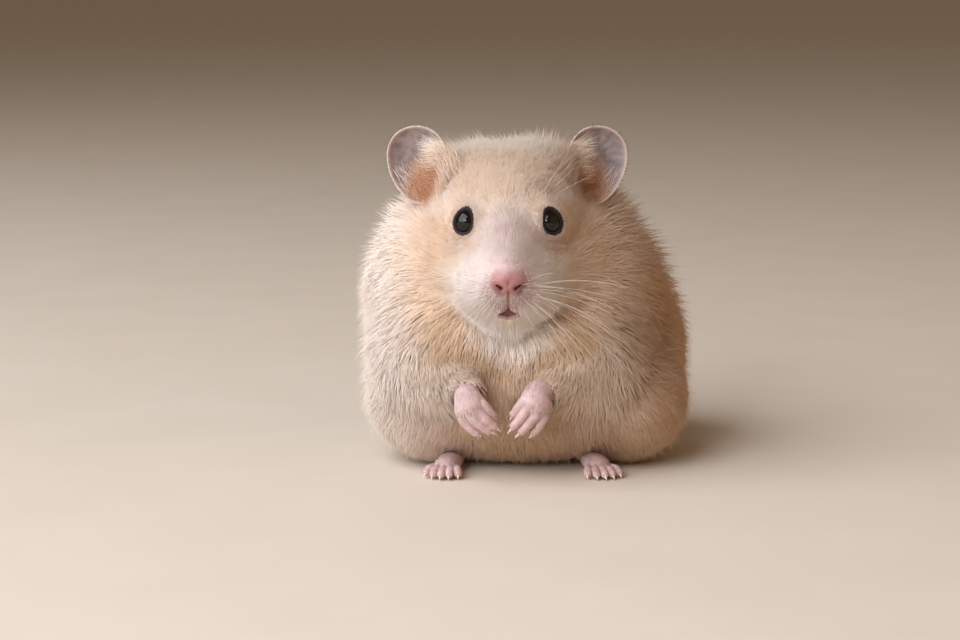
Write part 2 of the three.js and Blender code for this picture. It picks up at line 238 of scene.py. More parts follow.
def to_skin(p, coat=1.0):
    """Distance to the skin without the forelegs, which are sheets of their own."""
    return to_form(p, coat, False)


print("masses:", len(HEAD_PARTS + TRUNK_PARTS + ARM_PARTS))

# %% [markdown]
# ## Closed sheets
# Every new surface here is a closed sheet: rings of points, one ring after another, with a single
# point at each end. A ball, a finger, a tail and an ear all fit that plan. It could be done with
# modifiers, but a grid keeps its row and column numbers, so a map of the surface comes for free.

# %% Closed sheets and meshes
BAKE_MAP = "OFBake"


def turns(count):
    """Angles evenly round a whole turn."""
    return 2 * np.pi * np.arange(count) / count


def turned_out(points, corner, starts, at_row, at_turn):
    """The same faces, looking outwards: each face's corners in reverse if the volume is negative."""
    middle = points.mean(0)
    a, b, d = (points[corner[starts + k]] - middle for k in range(3))
    if (a * np.cross(b, d)).sum() < 0:
        sizes = np.diff(np.append(starts, len(corner)))
        face = np.repeat(np.arange(len(starts)), sizes)
        order = (starts + sizes - 1)[face] - (np.arange(len(corner)) - starts[face])
        corner, at_row, at_turn = corner[order], at_row[order], at_turn[order]
    return points, corner, starts, at_row, at_turn


def sheet_faces(rings, first=None, last=None):
    """
    Faces of a closed sheet. Corner arrays: point, row and turn (the column as a share of one turn).
    A quad joins each cell's four points; a fan of triangles joins each end point to its ring. With
    no end points the last ring joins the first, as in a tyre. The sum of the face volumes tells
    which way the faces look, and they are turned round if inwards.
    """
    rows, columns = rings.shape[:2]
    tyre = first is None
    r, c = np.meshgrid(np.arange(rows - (not tyre)), np.arange(columns), indexing="ij")
    quad_rows = np.stack([r, r + 1, r + 1, r], -1).reshape(-1, 4)
    quad_columns = np.stack([c, c, c + 1, c + 1], -1).reshape(-1, 4)
    quads = quad_rows % rows * columns + quad_columns % columns
    if tyre:
        points = rings.reshape(-1, 3)
        starts = 4 * np.arange(len(quads))
        at_row, at_turn = quad_rows.ravel().astype(float), quad_columns.ravel() / columns
        return turned_out(points, quads.ravel(), starts, at_row, at_turn)
    points = np.concatenate([rings.reshape(-1, 3), [first, last]])
    ring = np.arange(columns)
    nexts = ring + 1
    middle = ring + 0.5
    low = np.stack([np.full(columns, rows * columns), ring, nexts % columns], -1)
    top_row = (rows - 1) * columns
    high = np.stack([np.full(columns, rows * columns + 1), top_row + nexts % columns, top_row + ring], -1)
    corner = np.concatenate([quads.ravel(), low.ravel(), high.ravel()])
    at_row = np.concatenate([
        quad_rows.ravel(),
        np.tile([-1, 0, 0], columns),
        np.tile([rows, rows - 1, rows - 1], columns),
    ]).astype(float)
    at_turn = np.concatenate([
        quad_columns.ravel(),
        np.stack([middle, ring, nexts], -1).ravel(),
        np.stack([middle, nexts, ring], -1).ravel(),
    ]) / columns
    sizes = np.concatenate([np.full(len(quads), 4), np.full(2 * columns, 3)])
    starts = np.concatenate([[0], np.cumsum(sizes)[:-1]])
    return turned_out(points, corner, starts, at_row, at_turn)


def put_mesh(name, points, corner, starts, chart):
    """A smooth mesh object in metres from points in mm, each corner's point and each face's start."""
    mesh = bpy.data.meshes.new(name)
    mesh.vertices.add(len(points))
    mesh.vertices.foreach_set("co", (points * MM).astype(np.float32).ravel())
    mesh.loops.add(len(corner))
    mesh.loops.foreach_set("vertex_index", corner.astype(np.int32))
    mesh.polygons.add(len(starts))
    mesh.polygons.foreach_set("loop_start", starts.astype(np.int32))
    mesh.polygons.foreach_set("use_smooth", np.ones(len(starts), bool))
    mesh.update(calc_edges=True)
    layer = mesh.uv_layers.new(name=BAKE_MAP)
    layer.data.foreach_set("uv", chart.astype(np.float32).ravel())
    piece = bpy.data.objects.new(name, mesh)
    bpy.context.collection.objects.link(piece)
    return piece


def put_numbers(piece, name, values):
    """Stores one number or one vector at each point of a mesh, for its material to read."""
    kind, field = ("FLOAT", "value") if values.ndim == 1 else ("FLOAT_VECTOR", "vector")
    layer = piece.data.attributes.new(name, kind, "POINT")
    layer.data.foreach_set(field, values.astype(np.float32).ravel())


# %% [markdown]
# ## The skin as rays from the middle
# The skin is one sheet: rays leave a point inside the body, and each stops at the outermost place
# where the distance is zero. The rings start at the nose, where they lie close together, so the
# nostrils, the lips and the lids get small cells, and they end far apart on the rump.

# %% Rays and how far they reach
MIDDLE = np.array([2.0, -6.0, 39.0])
TO_NOSE = unit(np.array([-2.0, -33.0, 9.0]))
TO_SIDE = unit(np.cross(TO_NOSE, [0, 0, 1.0]))
TO_TOP = np.cross(TO_SIDE, TO_NOSE)
COLUMNS = 280
RING_STEPS = np.concatenate([np.full(52, 0.27), np.full(66, 0.48), np.full(92, 1.42)])
RING_ANGLES = np.radians(0.15 + np.concatenate([[0], np.cumsum(RING_STEPS)]))
RING_ANGLES = RING_ANGLES[RING_ANGLES < np.radians(179.2)]
ROWS = len(RING_ANGLES)
FLOOR_GAP_SKIN = 0.9  # the skin stays this far above the floor
FARTHEST = 58.0  # where each ray starts, outside of the body


def ray(angle, turn):
    """Direction at an angle from the nose: cos(angle) to the nose + sin(angle) round it."""
    angle, turn = angle[..., None], turn[..., None]
    around = np.cos(turn) * TO_SIDE + np.sin(turn) * TO_TOP
    return np.cos(angle) * TO_NOSE + np.sin(angle) * around


def reach(directions, distance):
    """Length of each ray to the outermost zero of distance: steps inwards, then halves the last step."""
    flat = directions.reshape(-1, 3)
    length = np.full(len(flat), FARTHEST)
    step = np.zeros(len(flat))
    alive = np.arange(len(flat))
    for _ in range(60):
        here = distance(MIDDLE + flat[alive] * length[alive, None])
        alive, here = alive[here > 0], here[here > 0]
        if len(alive) == 0:
            break
        step[alive] = np.clip(0.85 * here, 0.12, 8.0)
        length[alive] -= step[alive]
    inner, outer = length, length + step
    for _ in range(9):
        half = (inner + outer) / 2
        outside = distance(MIDDLE + flat * half[:, None]) > 0
        inner, outer = np.where(outside, inner, half), np.where(outside, half, outer)
    down = np.minimum(flat[:, 2], -1e-6)
    to_floor = np.where(flat[:, 2] < 0, (FLOOR_GAP_SKIN - MIDDLE[2]) / down, FARTHEST)
    return np.minimum((inner + outer) / 2, to_floor).reshape(directions.shape[:-1])


ring_angle, ring_turn = np.meshgrid(RING_ANGLES, turns(COLUMNS), indexing="ij")
RAYS = ray(ring_angle, ring_turn)
skin_reach = reach(RAYS, to_skin)
print("rays:", RAYS.shape[:2], "longest", round(float(skin_reach.max()), 1), "mm")

# %% [markdown]
# ## Where the eyes sit
# Each eye is a ball of which the lids leave a rounded drop free. The balls look forwards, outwards
# and a little up, and they stand out a little from the short hair round them. Their places come
# from the solids of the frame, so the balls here fill the same sockets.

# %% The eyes in their own directions
EYE_LOOK = np.array([0.36, -0.90, 0.22])  # where the left eye looks
LID_HALF_WIDTH, LID_HALF_HEIGHT = 2.14, 2.74
LID_TAPER = 0.14  # how much narrower the opening is at its top, and wider at its bottom
LID_LEAN = 0.16  # radians: the top of the opening leans to the middle of the face
LID_RADIUS = 0.40
SIDES = {"left": 1.0, "right": -1.0}

eye_boxes = {side: np.array([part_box(f"eye_{side}")[0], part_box(f"eye_{side}")[1]]) / MM for side in SIDES}
EYE_CENTRES = {side: box.mean(0) for side, box in eye_boxes.items()}
EYE_RADIUS = float((eye_boxes["left"][1] - eye_boxes["left"][0]).max()) / 2
for side, centre in EYE_CENTRES.items():
    print(side, "eye at", centre.round(1).tolist(), "radius", round(EYE_RADIUS, 2))


def eye_axes(side):
    """Three directions of an eye: outwards along the face, up along the lids, and where it looks."""
    look = unit(EYE_LOOK * [SIDES[side], 1, 1])
    out = unit(np.cross([0, 0, 1.0], look)) * -SIDES[side]
    out = out if out[0] * SIDES[side] > 0 else -out
    up = np.cross(look, out)
    up = up if up[2] > 0 else -up
    lean = LID_LEAN
    return np.stack([
        np.cos(lean) * out + np.sin(lean) * up,
        -np.sin(lean) * out + np.cos(lean) * up,
        look,
    ])


def in_lids(p, side):
    """How far out of the drop between the lids: the root of wide^2 + high^2, which is 1 on its rim."""
    q = (p - EYE_CENTRES[side]) @ eye_axes(side).T
    high = q[..., 1] / LID_HALF_HEIGHT
    wide = q[..., 0] / (LID_HALF_WIDTH * (1 - LID_TAPER * high))
    share = np.sqrt(wide**2 + high**2)
    return np.where(q[..., 2] > -1.0, share, 9.0)


# %% [markdown]
# ## Nose, lips and lids in the skin
# The nose is a small form of its own: two round pads, a bridge, a tip and two wings, blended as
# the body is. Grooves are added to the distance, which sinks the surface there: two slanted
# nostrils, the line from the nose to the lips, and the mouth, a low triangle between the lips.

# %% Nose and mouth
NOSE_BLEND = 0.5
NOSE_JOIN = 0.7
# name: first place, radius, no coat, second place, radius, no coat, on both sides
NOSE_TAPERS = {
    "bridge": ((0, -33.2, 51.6), 2.7, 0, (0, -36.6, 49.4), 2.1, 0, False),
    "pad": ((1.55, -36.4, 49.0), 1.75, 0, (1.75, -37.0, 48.1), 1.75, 0, True),
    "tip": ((0, -37.4, 48.2), 1.3, 0, (0, -37.6, 46.6), 1.05, 0, False),
    "wing": ((3.15, -35.6, 47.3), 1.1, 0, (1.7, -36.8, 45.8), 1.0, 0, True),
}
NOSE_PARTS = named("taper", NOSE_TAPERS)
NOSTRIL = ((2.65, 46.9), (1.6, 46.2))  # x and z of both ends of the slit
NOSTRIL_WIDTH, NOSTRIL_DEPTH = 0.32, 0.7
LIP_TOP, LIP_BOTTOM, LIP_CORNER = 41.2, 38.7, 39.5  # heights of the mouth's apex, low point and corners
MOUTH_HALF_WIDTH = 4.8
MOUTH_DEPTH = 0.8
NOSE_FOLD_END = 46.0


def near(value, width):
    """A bell: 1 where value is 0, fading over width."""
    return np.exp(-((value / width) ** 2))


def ramp(value, low, high):
    """0 below low, 1 above high, and a smooth rise between."""
    s = np.clip((value - low) / (high - low), 0, 1)
    return s * s * (3 - 2 * s)


def to_nose(p):
    """Distance to the nose alone."""
    return blended_parts(p, NOSE_PARTS, 0.0, NOSE_BLEND)


def to_bare_nose(p):
    """Distance to the bare skin of the nose, which reaches a little beyond the wings at their height."""
    return to_nose(p) - 0.15 * near(p[..., 2] - 46.0, 1.5)


def from_slit(x, z, ends):
    """Distance in the front view from a straight slit."""
    (ax, az), (bx, bz) = ends
    along = np.clip(((x - ax) * (bx - ax) + (z - az) * (bz - az)) / ((bx - ax) ** 2 + (bz - az) ** 2), 0, 1)
    return np.hypot(x - ax - along * (bx - ax), z - az - along * (bz - az))


def mouth_share(p):
    """1 well inside the mouth and 0 outside: between the upper lip's two arcs and the lower lip's one."""
    left = np.clip(1 - np.abs(p[..., 0]) / MOUTH_HALF_WIDTH, 0, 1)
    above = LIP_CORNER + 0.05 + (LIP_TOP - LIP_CORNER) * left**3.6
    below = LIP_CORNER - 0.05 - (LIP_CORNER - LIP_BOTTOM) * left**2.4
    inside = np.minimum(above - p[..., 2], p[..., 2] - below)
    return ramp(inside, -0.16, 0.5) * ramp(left, 0, 0.12) * (p[..., 1] < -25)


def nostril_share(p):
    """1 in the middle of a nostril's slit and 0 away from it; the slit is finer at its outer end."""
    x = np.abs(p[..., 0])
    slit = from_slit(x, p[..., 2], NOSTRIL)
    finer = 1.25 - 0.65 * ramp(x, NOSTRIL[1][0], NOSTRIL[0][0])
    return near(slit, NOSTRIL_WIDTH * finer) * (p[..., 1] < -30)


def to_face_skin(p):
    """Distance to the skin near the nose and the lips."""
    x, y, z = p[..., 0], p[..., 1], p[..., 2]
    muzzle = blended(to_skin(p), to_nose(p), NOSE_JOIN)
    front = ramp(-y, 30, 33)
    line = near(x, 0.26) * ramp(NOSE_FOLD_END - z, 0, 0.8) * ramp(z, LIP_TOP - 0.8, LIP_TOP)
    dimple = near(x, 0.4) * near(z - 47.3, 0.9)
    lip_swell = near(np.abs(x) - 1.6, 1.7) * near(z - 42.6, 1.2)
    low_lip = near(x, 2.4) * near(z - (LIP_BOTTOM - 0.7), 0.7)
    sunk = NOSTRIL_DEPTH * nostril_share(p) + 0.4 * line + 0.22 * dimple + MOUTH_DEPTH * mouth_share(p)
    return muzzle + front * (sunk - 0.35 * lip_swell - 0.12 * low_lip)


FACE_RINGS = np.radians([17, 24])  # within the first angle all of the face, beyond the second none
near_nose = RING_ANGLES < FACE_RINGS[1]
face_reach = reach(RAYS[near_nose], to_face_skin)
fade = ramp(RING_ANGLES[near_nose], *FACE_RINGS)[:, None]
skin_reach[near_nose] = (1 - fade) * face_reach + fade * skin_reach[near_nose]
print("rings with the nose and the lips:", int(near_nose.sum()))

# %% [markdown]
# Over each eye the skin is first a closed dome, a little larger than the ball, and then the drop
# between the lids is sunk into it. So the lids lie on the ball all round, as real ones do. The coat
# is short there, and the skin rises through it to meet the dome.

# %% Lids over the balls
LID_THICKNESS, LID_BLEND, SOCKET_DEPTH = 0.06, 0.9, 2.4
EYE_RAYS = math.radians(17)  # rays this close to an eye are measured again


def to_domed_skin(p, side):
    """Distance to the skin joined with a dome over the ball."""
    to_eye = norms(p - EYE_CENTRES[side])
    rise = near(np.maximum(to_eye - 3.6, 0), 2.6)
    around = (1 - rise) * to_skin(p) + rise * to_skin(p, 0.12)
    dome = to_eye - EYE_RADIUS - LID_THICKNESS
    return blended(around, dome, LID_BLEND)


def to_lidded_skin(p, side):
    """Distance to the domed skin, sunk between the lids."""
    return to_domed_skin(p, side) + SOCKET_DEPTH * (1 - ramp(in_lids(p, side), 0.80, 1.06))


for side in SIDES:
    beside = np.arccos(np.clip(RAYS @ unit(EYE_CENTRES[side] - MIDDLE), -1, 1)) < EYE_RAYS
    skin_reach[beside] = reach(RAYS[beside], partial(to_lidded_skin, side=side))

skin_rings = MIDDLE + RAYS * skin_reach[..., None]
skin_first = MIDDLE + TO_NOSE * float(skin_reach[0].mean())
skin_last = MIDDLE - TO_NOSE * float(skin_reach[-1].mean())


def disc_map(row, turn):
    """
    The skin's own map: two discs of equal area, the front half about the nose and the back half
    about the rump. The radius goes with the sine of half the angle from the disc's middle.
    """
    angle = np.interp(row, np.arange(-1, ROWS + 1), np.concatenate([[0], RING_ANGLES, [np.pi]]))
    back = angle > np.pi / 2
    from_middle = np.where(back, np.pi - angle, angle)
    radius = 0.235 * np.sin(from_middle / 2) / np.sin(np.pi / 4)
    around = 2 * np.pi * turn
    u = np.where(back, 0.75 - radius * np.cos(around), 0.25 + radius * np.cos(around))
    return np.stack([u, 0.5 + radius * np.sin(around)], -1)


points, corner, starts, at_row, at_turn = sheet_faces(skin_rings, skin_first, skin_last)
# a face belongs to one disc: the disc of its first corner
first_corner = np.repeat(starts, np.diff(np.append(starts, len(corner))))
half_row = np.interp(np.pi / 2, RING_ANGLES, np.arange(ROWS))
in_front = at_row[first_corner] <= half_row
whole_row = np.where(in_front, np.minimum(at_row, half_row), np.maximum(at_row, half_row + 1e-3))
skin = put_mesh("skin", points, corner, starts, disc_map(whole_row, at_turn))
# where the coat is long, the skin under it is later painted deeper and warmer: painted shade in the depth of
# the coat
put_numbers(skin, "long coat", ramp(-to_form(points, 0.0), 1.8, 3.0))
put_numbers(skin, "mouth", mouth_share(points))
put_numbers(skin, "nostril", nostril_share(points))
to_lips = np.hypot(points[:, 0] / 3.6, (points[:, 2] - 39.6) / 2.2)
put_numbers(skin, "lips", (1 - ramp(to_lips, 0.8, 1.3)) * (points[:, 1] < -25))
nose_top = 1 - ramp(points[:, 2], 49.0, 51.4)
put_numbers(skin, "nose", (1 - ramp(to_bare_nose(points), 0.0, 0.6)) * nose_top * (points[:, 1] < -33))
print("skin:", len(starts), "faces")

# %% [markdown]
# ## Paws, feet and tail
# Fingers, palms, feet and the tail are tubes: circles carried along a smooth path, with a radius
# at each station. The hands hang from the wrists with their backs to the front and the fingers
# curled down and inwards. The stations are the ones of the solids, with more of them on a finger.

# %% Tubes along a path
FINISH_NAMES = {"furred": "furred skin", "ear": "ear skin", "paw": "paw skin", "lid": "lid rim"}
# the skin's materials in order, made here empty, because a union needs them in place
SKIN_FINISHES = {kind: bpy.data.materials.new(name) for kind, name in FINISH_NAMES.items()}
for finish in SKIN_FINISHES.values():
    skin.data.materials.append(finish)


def smooth_path(stations, count):
    """Catmull-Rom curve: between two stations a cubic whose slope at each is half the step across it."""
    s = np.asarray(stations, float)
    padded = np.concatenate([[2 * s[0] - s[1]], s, [2 * s[-1] - s[-2]]])
    t = np.linspace(0, len(s) - 1, count)
    i = np.minimum(t.astype(int), len(s) - 2)
    f = (t - i)[:, None]
    a, b, c, d = (padded[i + k] for k in range(4))
    return 0.5 * (2 * b + (c - a) * f + (2 * a - 5 * b + 4 * c - d) * f**2 + (3 * b - a - 3 * c + d) * f**3)


def tube(stations, rows, columns, flat=1.0, up=(0, 0, 1.0)):
    """Rings of a tube: place + radius (cos x across + flat x sin x up), and its two end points."""
    path = smooth_path(stations, rows + 2)
    place, radius = path[:, :3], np.maximum(path[:, 3], 0.05)
    along = unit(np.gradient(place, axis=0))
    across = unit(np.cross(along, np.asarray(up, float)))
    upward = np.cross(across, along)
    turn = turns(columns)
    circle = np.cos(turn)[:, None] * across[:, None] + flat * np.sin(turn)[:, None] * upward[:, None]
    rings = place[:, None] + radius[:, None, None] * circle
    return rings[1:-1], place[0], place[-1]


def strip_map(box, rows):
    """A map that lays the rows and columns of a sheet in a box (left, bottom, right, top)."""
    left, bottom, right, top = box
    return lambda row, turn: np.stack([
        left + (right - left) * np.clip((row + 1) / (rows + 1), 0, 1),
        bottom + (top - bottom) * turn,
    ], -1)


map_boxes = iter([
    (0.012 + 0.054 * i, low, 0.058 + 0.054 * i, low + 0.07)
    for low in (0.01, 0.09, 0.17) for i in range(18)
])


kept_sheets = {}  # rings and map of each sheet, to grow hair on later


def put_sheet(name, sheet, finish, chart=None):
    """A closed sheet as an object, with its place on the bake map and the finish of its faces."""
    rings, first, last = sheet
    points, corner, starts, at_row, at_turn = sheet_faces(rings, first, last)
    chart = chart or strip_map(next(map_boxes), len(rings))
    kept_sheets[name] = (rings, chart)
    piece = put_mesh(name, points, corner, starts, chart(at_row, at_turn))
    for material in SKIN_FINISHES.values():
        piece.data.materials.append(material)
    index = list(SKIN_FINISHES).index(finish)
    piece.data.polygons.foreach_set("material_index", np.full(len(starts), index, np.int32))
    return piece


# %% [markdown]
# A boolean union makes overlapping sheets one surface without walls inside. Blender's manifold
# solver is the quick one, and it keeps the map and the finish of every face.

# %% Joining sheets
def joined(base, parts):
    """The union of a closed mesh with others, which are taken away once they are in it."""
    for part in parts:
        union = base.modifiers.new(part.name, "BOOLEAN")
        union.operation = "UNION"
        union.solver = "MANIFOLD"
        union.object = part
    graph = bpy.context.evaluated_depsgraph_get()
    made = base.evaluated_get(graph)
    mesh = bpy.data.meshes.new_from_object(made, preserve_all_data_layers=True, depsgraph=graph)
    base.modifiers.clear()
    base.data = mesh
    for part in parts:
        bpy.data.objects.remove(part)
    return base


def bezier(a, b, c, share):
    """Point at a share of a curve from a to c that bends towards b."""
    a, b, c = (np.asarray(v, float) for v in (a, b, c))
    return (1 - share) ** 2 * a + 2 * share * (1 - share) * b + share**2 * c


FINGER_PROFILE = [  # share of the finger's length, radius as a share of its thickness
    (-0.30, 0.25), (-0.15, 0.78), (0.08, 1.0), (0.28, 0.90), (0.46, 0.95),
    (0.64, 0.78), (0.78, 0.80), (0.87, 0.55), (0.90, 0.10),
]
CLAW_PROFILE = [(0.76, 0.20), (0.82, 0.40), (0.92, 0.30), (1.02, 0.16), (1.10, 0.04)]
FINGER_THICKNESS, TOE_THICKNESS = 1.28, 1.15
FINGER_ROWS, FINGER_COLUMNS = 18, 16
CLAW_ROWS, CLAW_COLUMNS = 8, 8
CLAW_HEIGHT = 1.25  # a claw is this much higher than wide
claw_sheets = []


def digit_stations(joints, profile, thickness):
    """Stations of a finger or of its claw: places on the bend through three joints, with radii."""
    knuckle, middle, tip = (np.asarray(j, float) for j in joints)
    length = np.linalg.norm(tip - knuckle)
    stations = []
    for share, radius in profile:
        place = bezier(knuckle, middle, tip, share)
        if share < 0:
            place = knuckle + share * length * unit(middle - knuckle)
        stations.append([*place, radius * thickness])
    return stations


def digit(name, joints, thickness, up=(0, -1.0, 0.3)):
    """A finger or toe, with its claw kept for later."""
    claw = digit_stations(joints, CLAW_PROFILE, 1.0)
    claw_sheets.append(tube(claw, CLAW_ROWS, CLAW_COLUMNS, flat=CLAW_HEIGHT, up=up))
    flesh = digit_stations(joints, FINGER_PROFILE, thickness)
    return put_sheet(name, tube(flesh, FINGER_ROWS, FINGER_COLUMNS, up=up), "paw")


# %% [markdown]
# A forepaw has four fingers, and the two hands don't hang quite alike, so each finger is placed by
# its knuckle, its middle joint and its tip. The foreleg is a tube through shoulder, elbow and wrist.

# %% Forelegs and forepaws
PALMS = {  # stations with their radii
    "left": [
        (6.9, -34.2, 21.4, 3.1), (6.2, -35.2, 18.9, 3.9), (5.6, -35.5, 16.9, 2.2), (5.5, -35.5, 16.2, 0.3),
    ],
    "right": [
        (-9.3, -34.2, 20.6, 3.1), (-8.5, -35.2, 18.2, 3.9), (-7.8, -35.5, 16.2, 2.2), (-7.7, -35.5, 15.5, 0.3)
    ],
}
FINGERS = {  # knuckle, middle joint, tip
    "left": [
        ((4.0, -36.2, 20.3), (2.1, -36.9, 18.3), (0.6, -35.6, 15.9)),
        ((4.9, -36.9, 18.9), (2.9, -37.9, 16.3), (0.2, -37.0, 13.1)),
        ((6.6, -37.0, 17.3), (4.6, -37.9, 14.8), (1.9, -37.0, 12.0)),
        ((8.3, -36.0, 16.6), (7.0, -37.0, 14.2), (5.0, -36.2, 11.8)),
    ],
    "right": [
        ((-6.0, -36.2, 19.4), (-4.4, -36.9, 17.8), (-2.9, -35.6, 16.0)),
        ((-7.1, -36.9, 18.0), (-4.9, -37.9, 15.8), (-2.1, -37.0, 13.4)),
        ((-8.7, -37.0, 16.7), (-6.4, -37.9, 14.5), (-3.2, -37.0, 12.6)),
        ((-10.2, -36.0, 15.6), (-8.6, -37.0, 13.6), (-6.3, -36.2, 12.0)),
    ],
}
ARM_ROWS, ARM_COLUMNS = 40, 40
PALM_ROWS, PALM_COLUMNS, PALM_FLAT = 26, 28, 0.86
TUBE_END, WRIST_RADIUS = 0.4, 2.4  # of a limb's tube at its hidden end, and of the palm's in the wrist
JOINTS = (SHOULDER, ELBOW, WRIST)
arm_sheets, arm_maps, limbs = {}, {}, []
for side, sign in SIDES.items():
    shoulder, elbow, wrist = (np.array(joint[0], float) * [sign, 1, 1] for joint in JOINTS)
    thick, mid, thin = (radius - coat for _, radius, coat in JOINTS)  # without the coat
    stations = [
        (*(shoulder + 0.3 * (shoulder - elbow)), TUBE_END),
        (*shoulder, thick),
        (*elbow, mid),
        (*(0.5 * (elbow + wrist)), 0.5 * (mid + thin)),
        (*wrist, thin + 0.2),
        (*(wrist + 0.12 * (wrist - elbow)), TUBE_END),
    ]
    arm_sheets[side] = tube([(x, y, z - BODY_SEAT, r) for x, y, z, r in stations], ARM_ROWS, ARM_COLUMNS)
    arm_maps[side] = strip_map(next(map_boxes), ARM_ROWS)
    limbs.append(put_sheet(f"foreleg_skin_{side}", arm_sheets[side], "furred", arm_maps[side]))
    hidden, in_wrist = (wrist + share * (elbow - wrist) for share in (0.35, 0.1))
    stations = [(*hidden, TUBE_END), (*in_wrist, WRIST_RADIUS), *PALMS[side]]
    sheet = tube(stations, PALM_ROWS, PALM_COLUMNS, flat=PALM_FLAT, up=(0, -1, 0.4))
    palm = put_sheet(f"palm_{side}", sheet, "paw")
    names = [f"finger_{side}_{i}" for i in range(len(FINGERS[side]))]
    fingers = [digit(name, joints, FINGER_THICKNESS) for name, joints in zip(names, FINGERS[side])]
    limbs.append(joined(palm, fingers))
print("forelegs and hands:", len(limbs), "sheets")

# %% [markdown]
# Of a hind foot only the toes and the front of the sole come out from under the belly: a long flat
# tube with five toes, the outer ones shorter. The tail is a bare stub under the rump.

# %% Hind feet and tail
HEELS = {"left": (19, -12), "right": (-12, -12)}
FOOT_LENGTH, FOOT_HALF_WIDTH, FOOT_HEIGHT, TOE_LENGTH, FOOT_SPLAY = 13.0, 3.0, 2.3, 6.0, 0.2
FOOT_FLAT = 0.72
TOE_PLACES = np.linspace(-0.5, 0.5, 5)  # from the inner toe to the outer one
SOLE = [  # along the foot, height as a share of the foot's, radius
    (-1, 1, 0.2), (0.5, 1, 1.7), (6, 1, 2.8), (11, 1, FOOT_HALF_WIDTH), (13.5, 0.95, 2.4), (14.7, 0.8, 0.3),
]
TAIL = [
    (12, 20, 5.4, 0.3), (12.1, 24, 4.6, 3.2), (12.3, 27, 3.7, 3.2), (12.8, 32, 2.9, 2.6),
    (13.6, 36, 2.2, 2.0), (14.5, 39, 1.6, 1.3), (15.2, 40.6, 1.3, 0.2),
]


def on_foot(side, along, across, height):
    """Place on a foot: the heel + along x the foot's length way + across x its width way + height."""
    sign = SIDES[side]
    forward = np.array([sign * math.sin(FOOT_SPLAY), -math.cos(FOOT_SPLAY), 0])
    sideways = np.array([math.cos(FOOT_SPLAY), sign * math.sin(FOOT_SPLAY), 0])
    return np.array([*HEELS[side], 0.0]) + forward * along + sideways * across + [0, 0, height]


for side in SIDES:
    sole = [(*on_foot(side, along, 0, FOOT_HEIGHT * lift), radius) for along, lift, radius in SOLE]
    foot = put_sheet(f"foot_{side}", tube(sole, 22, 24, flat=FOOT_FLAT), "paw")
    toes = []
    for i, place in enumerate(TOE_PLACES):
        toe_reach = TOE_LENGTH * (1 - 1.1 * place**2)
        joints = (
            on_foot(side, FOOT_LENGTH, place * 5.2, 1.7),
            on_foot(side, FOOT_LENGTH + 0.6 * toe_reach, place * 7.2, 2.3),
            on_foot(side, FOOT_LENGTH + toe_reach, place * 8.0, 0.7),
        )
        toes.append(digit(f"toe_{side}_{i}", joints, TOE_THICKNESS, up=(0, 0, 1.0)))
    limbs.append(joined(foot, toes))
tail = put_sheet("tail", tube(TAIL, 24, 20), "paw")
print("claws:", len(claw_sheets))

# %% [markdown]
# ## Ears
# An ear is a cupped leaf: an oval whose middle lies deeper than its rim, with a thin rolled edge
# and faint folds that run to the edge. One sheet makes both faces. The rings go out over the hollow
# front, round the rim on a half circle, and back to the middle over the rear.

# %% Ears
EAR_HALF_WIDTH, EAR_HALF_LENGTH, EAR_CUP = 7.4, 9.4, 3.6
EAR_LEAN, EAR_TURN = 0.12, 0.30
EAR_BASE_THICKNESS, EAR_RIM_THICKNESS = 1.0, 0.44
EAR_RIM_RADIUS = 0.5 * EAR_RIM_THICKNESS * 1.15  # the rim is a little fuller than the leaf beside it
EAR_COLUMNS = 96
EAR_CENTRE = np.array([21.4, -7.2, 72.0])


def ear_leaf(share, turn):
    """
    Middle of the leaf: width share x cos(turn), height share x sin(turn), both skewed a little, and a
    depth that falls off with share to the power 2.2, less where the rim rolls forward and the folds run.
    """
    across = share * EAR_HALF_WIDTH * np.cos(turn) * (1 + 0.1 * np.sin(turn))
    upward = share * EAR_HALF_LENGTH * np.sin(turn) * (1 - 0.08 * np.sin(turn))
    outer = ramp(np.cos(turn + 0.5), -0.9, 0.2)
    roll = 0.55 * ramp(share, 0.84, 1.0) * outer
    folds = 0.10 * np.cos(17 * turn + 2.0 * share) * ramp(share, 0.35, 0.6) * (1 - ramp(share, 0.85, 0.97))
    pocket = 0.7 * near(turn - 2 * np.pi * (turn > np.pi) + 0.9, 0.5) * near(share - 0.62, 0.22)
    depth = EAR_CUP * (1 - share**2.2) + 0.5 - roll + folds - pocket
    return np.stack([across, depth, upward], -1)


def ear_place(p, side):
    """From the leaf's own directions to the head: lean about Y, turn about Z, then to its place."""
    lean, turn = EAR_LEAN, EAR_TURN
    x = np.cos(lean) * p[..., 0] + np.sin(lean) * p[..., 2]
    y = p[..., 1]
    z = -np.sin(lean) * p[..., 0] + np.cos(lean) * p[..., 2]
    turned = np.stack([np.cos(turn) * x - np.sin(turn) * y, np.sin(turn) * x + np.cos(turn) * y, z], -1)
    return (turned + EAR_CENTRE) * [SIDES[side], 1, 1]


front_shares = np.linspace(0.03, 0.975, 26)
rim_turns = np.linspace(0, np.pi, 7)[1:-1]
ear_turns = turns(EAR_COLUMNS)


def half_thickness(share):
    """From the middle of the leaf to its front or rear face: it thins evenly from base to rim."""
    half = 0.5 * (EAR_RIM_THICKNESS + (EAR_BASE_THICKNESS - EAR_RIM_THICKNESS) * (1 - share))
    return np.array([0, half, 0])


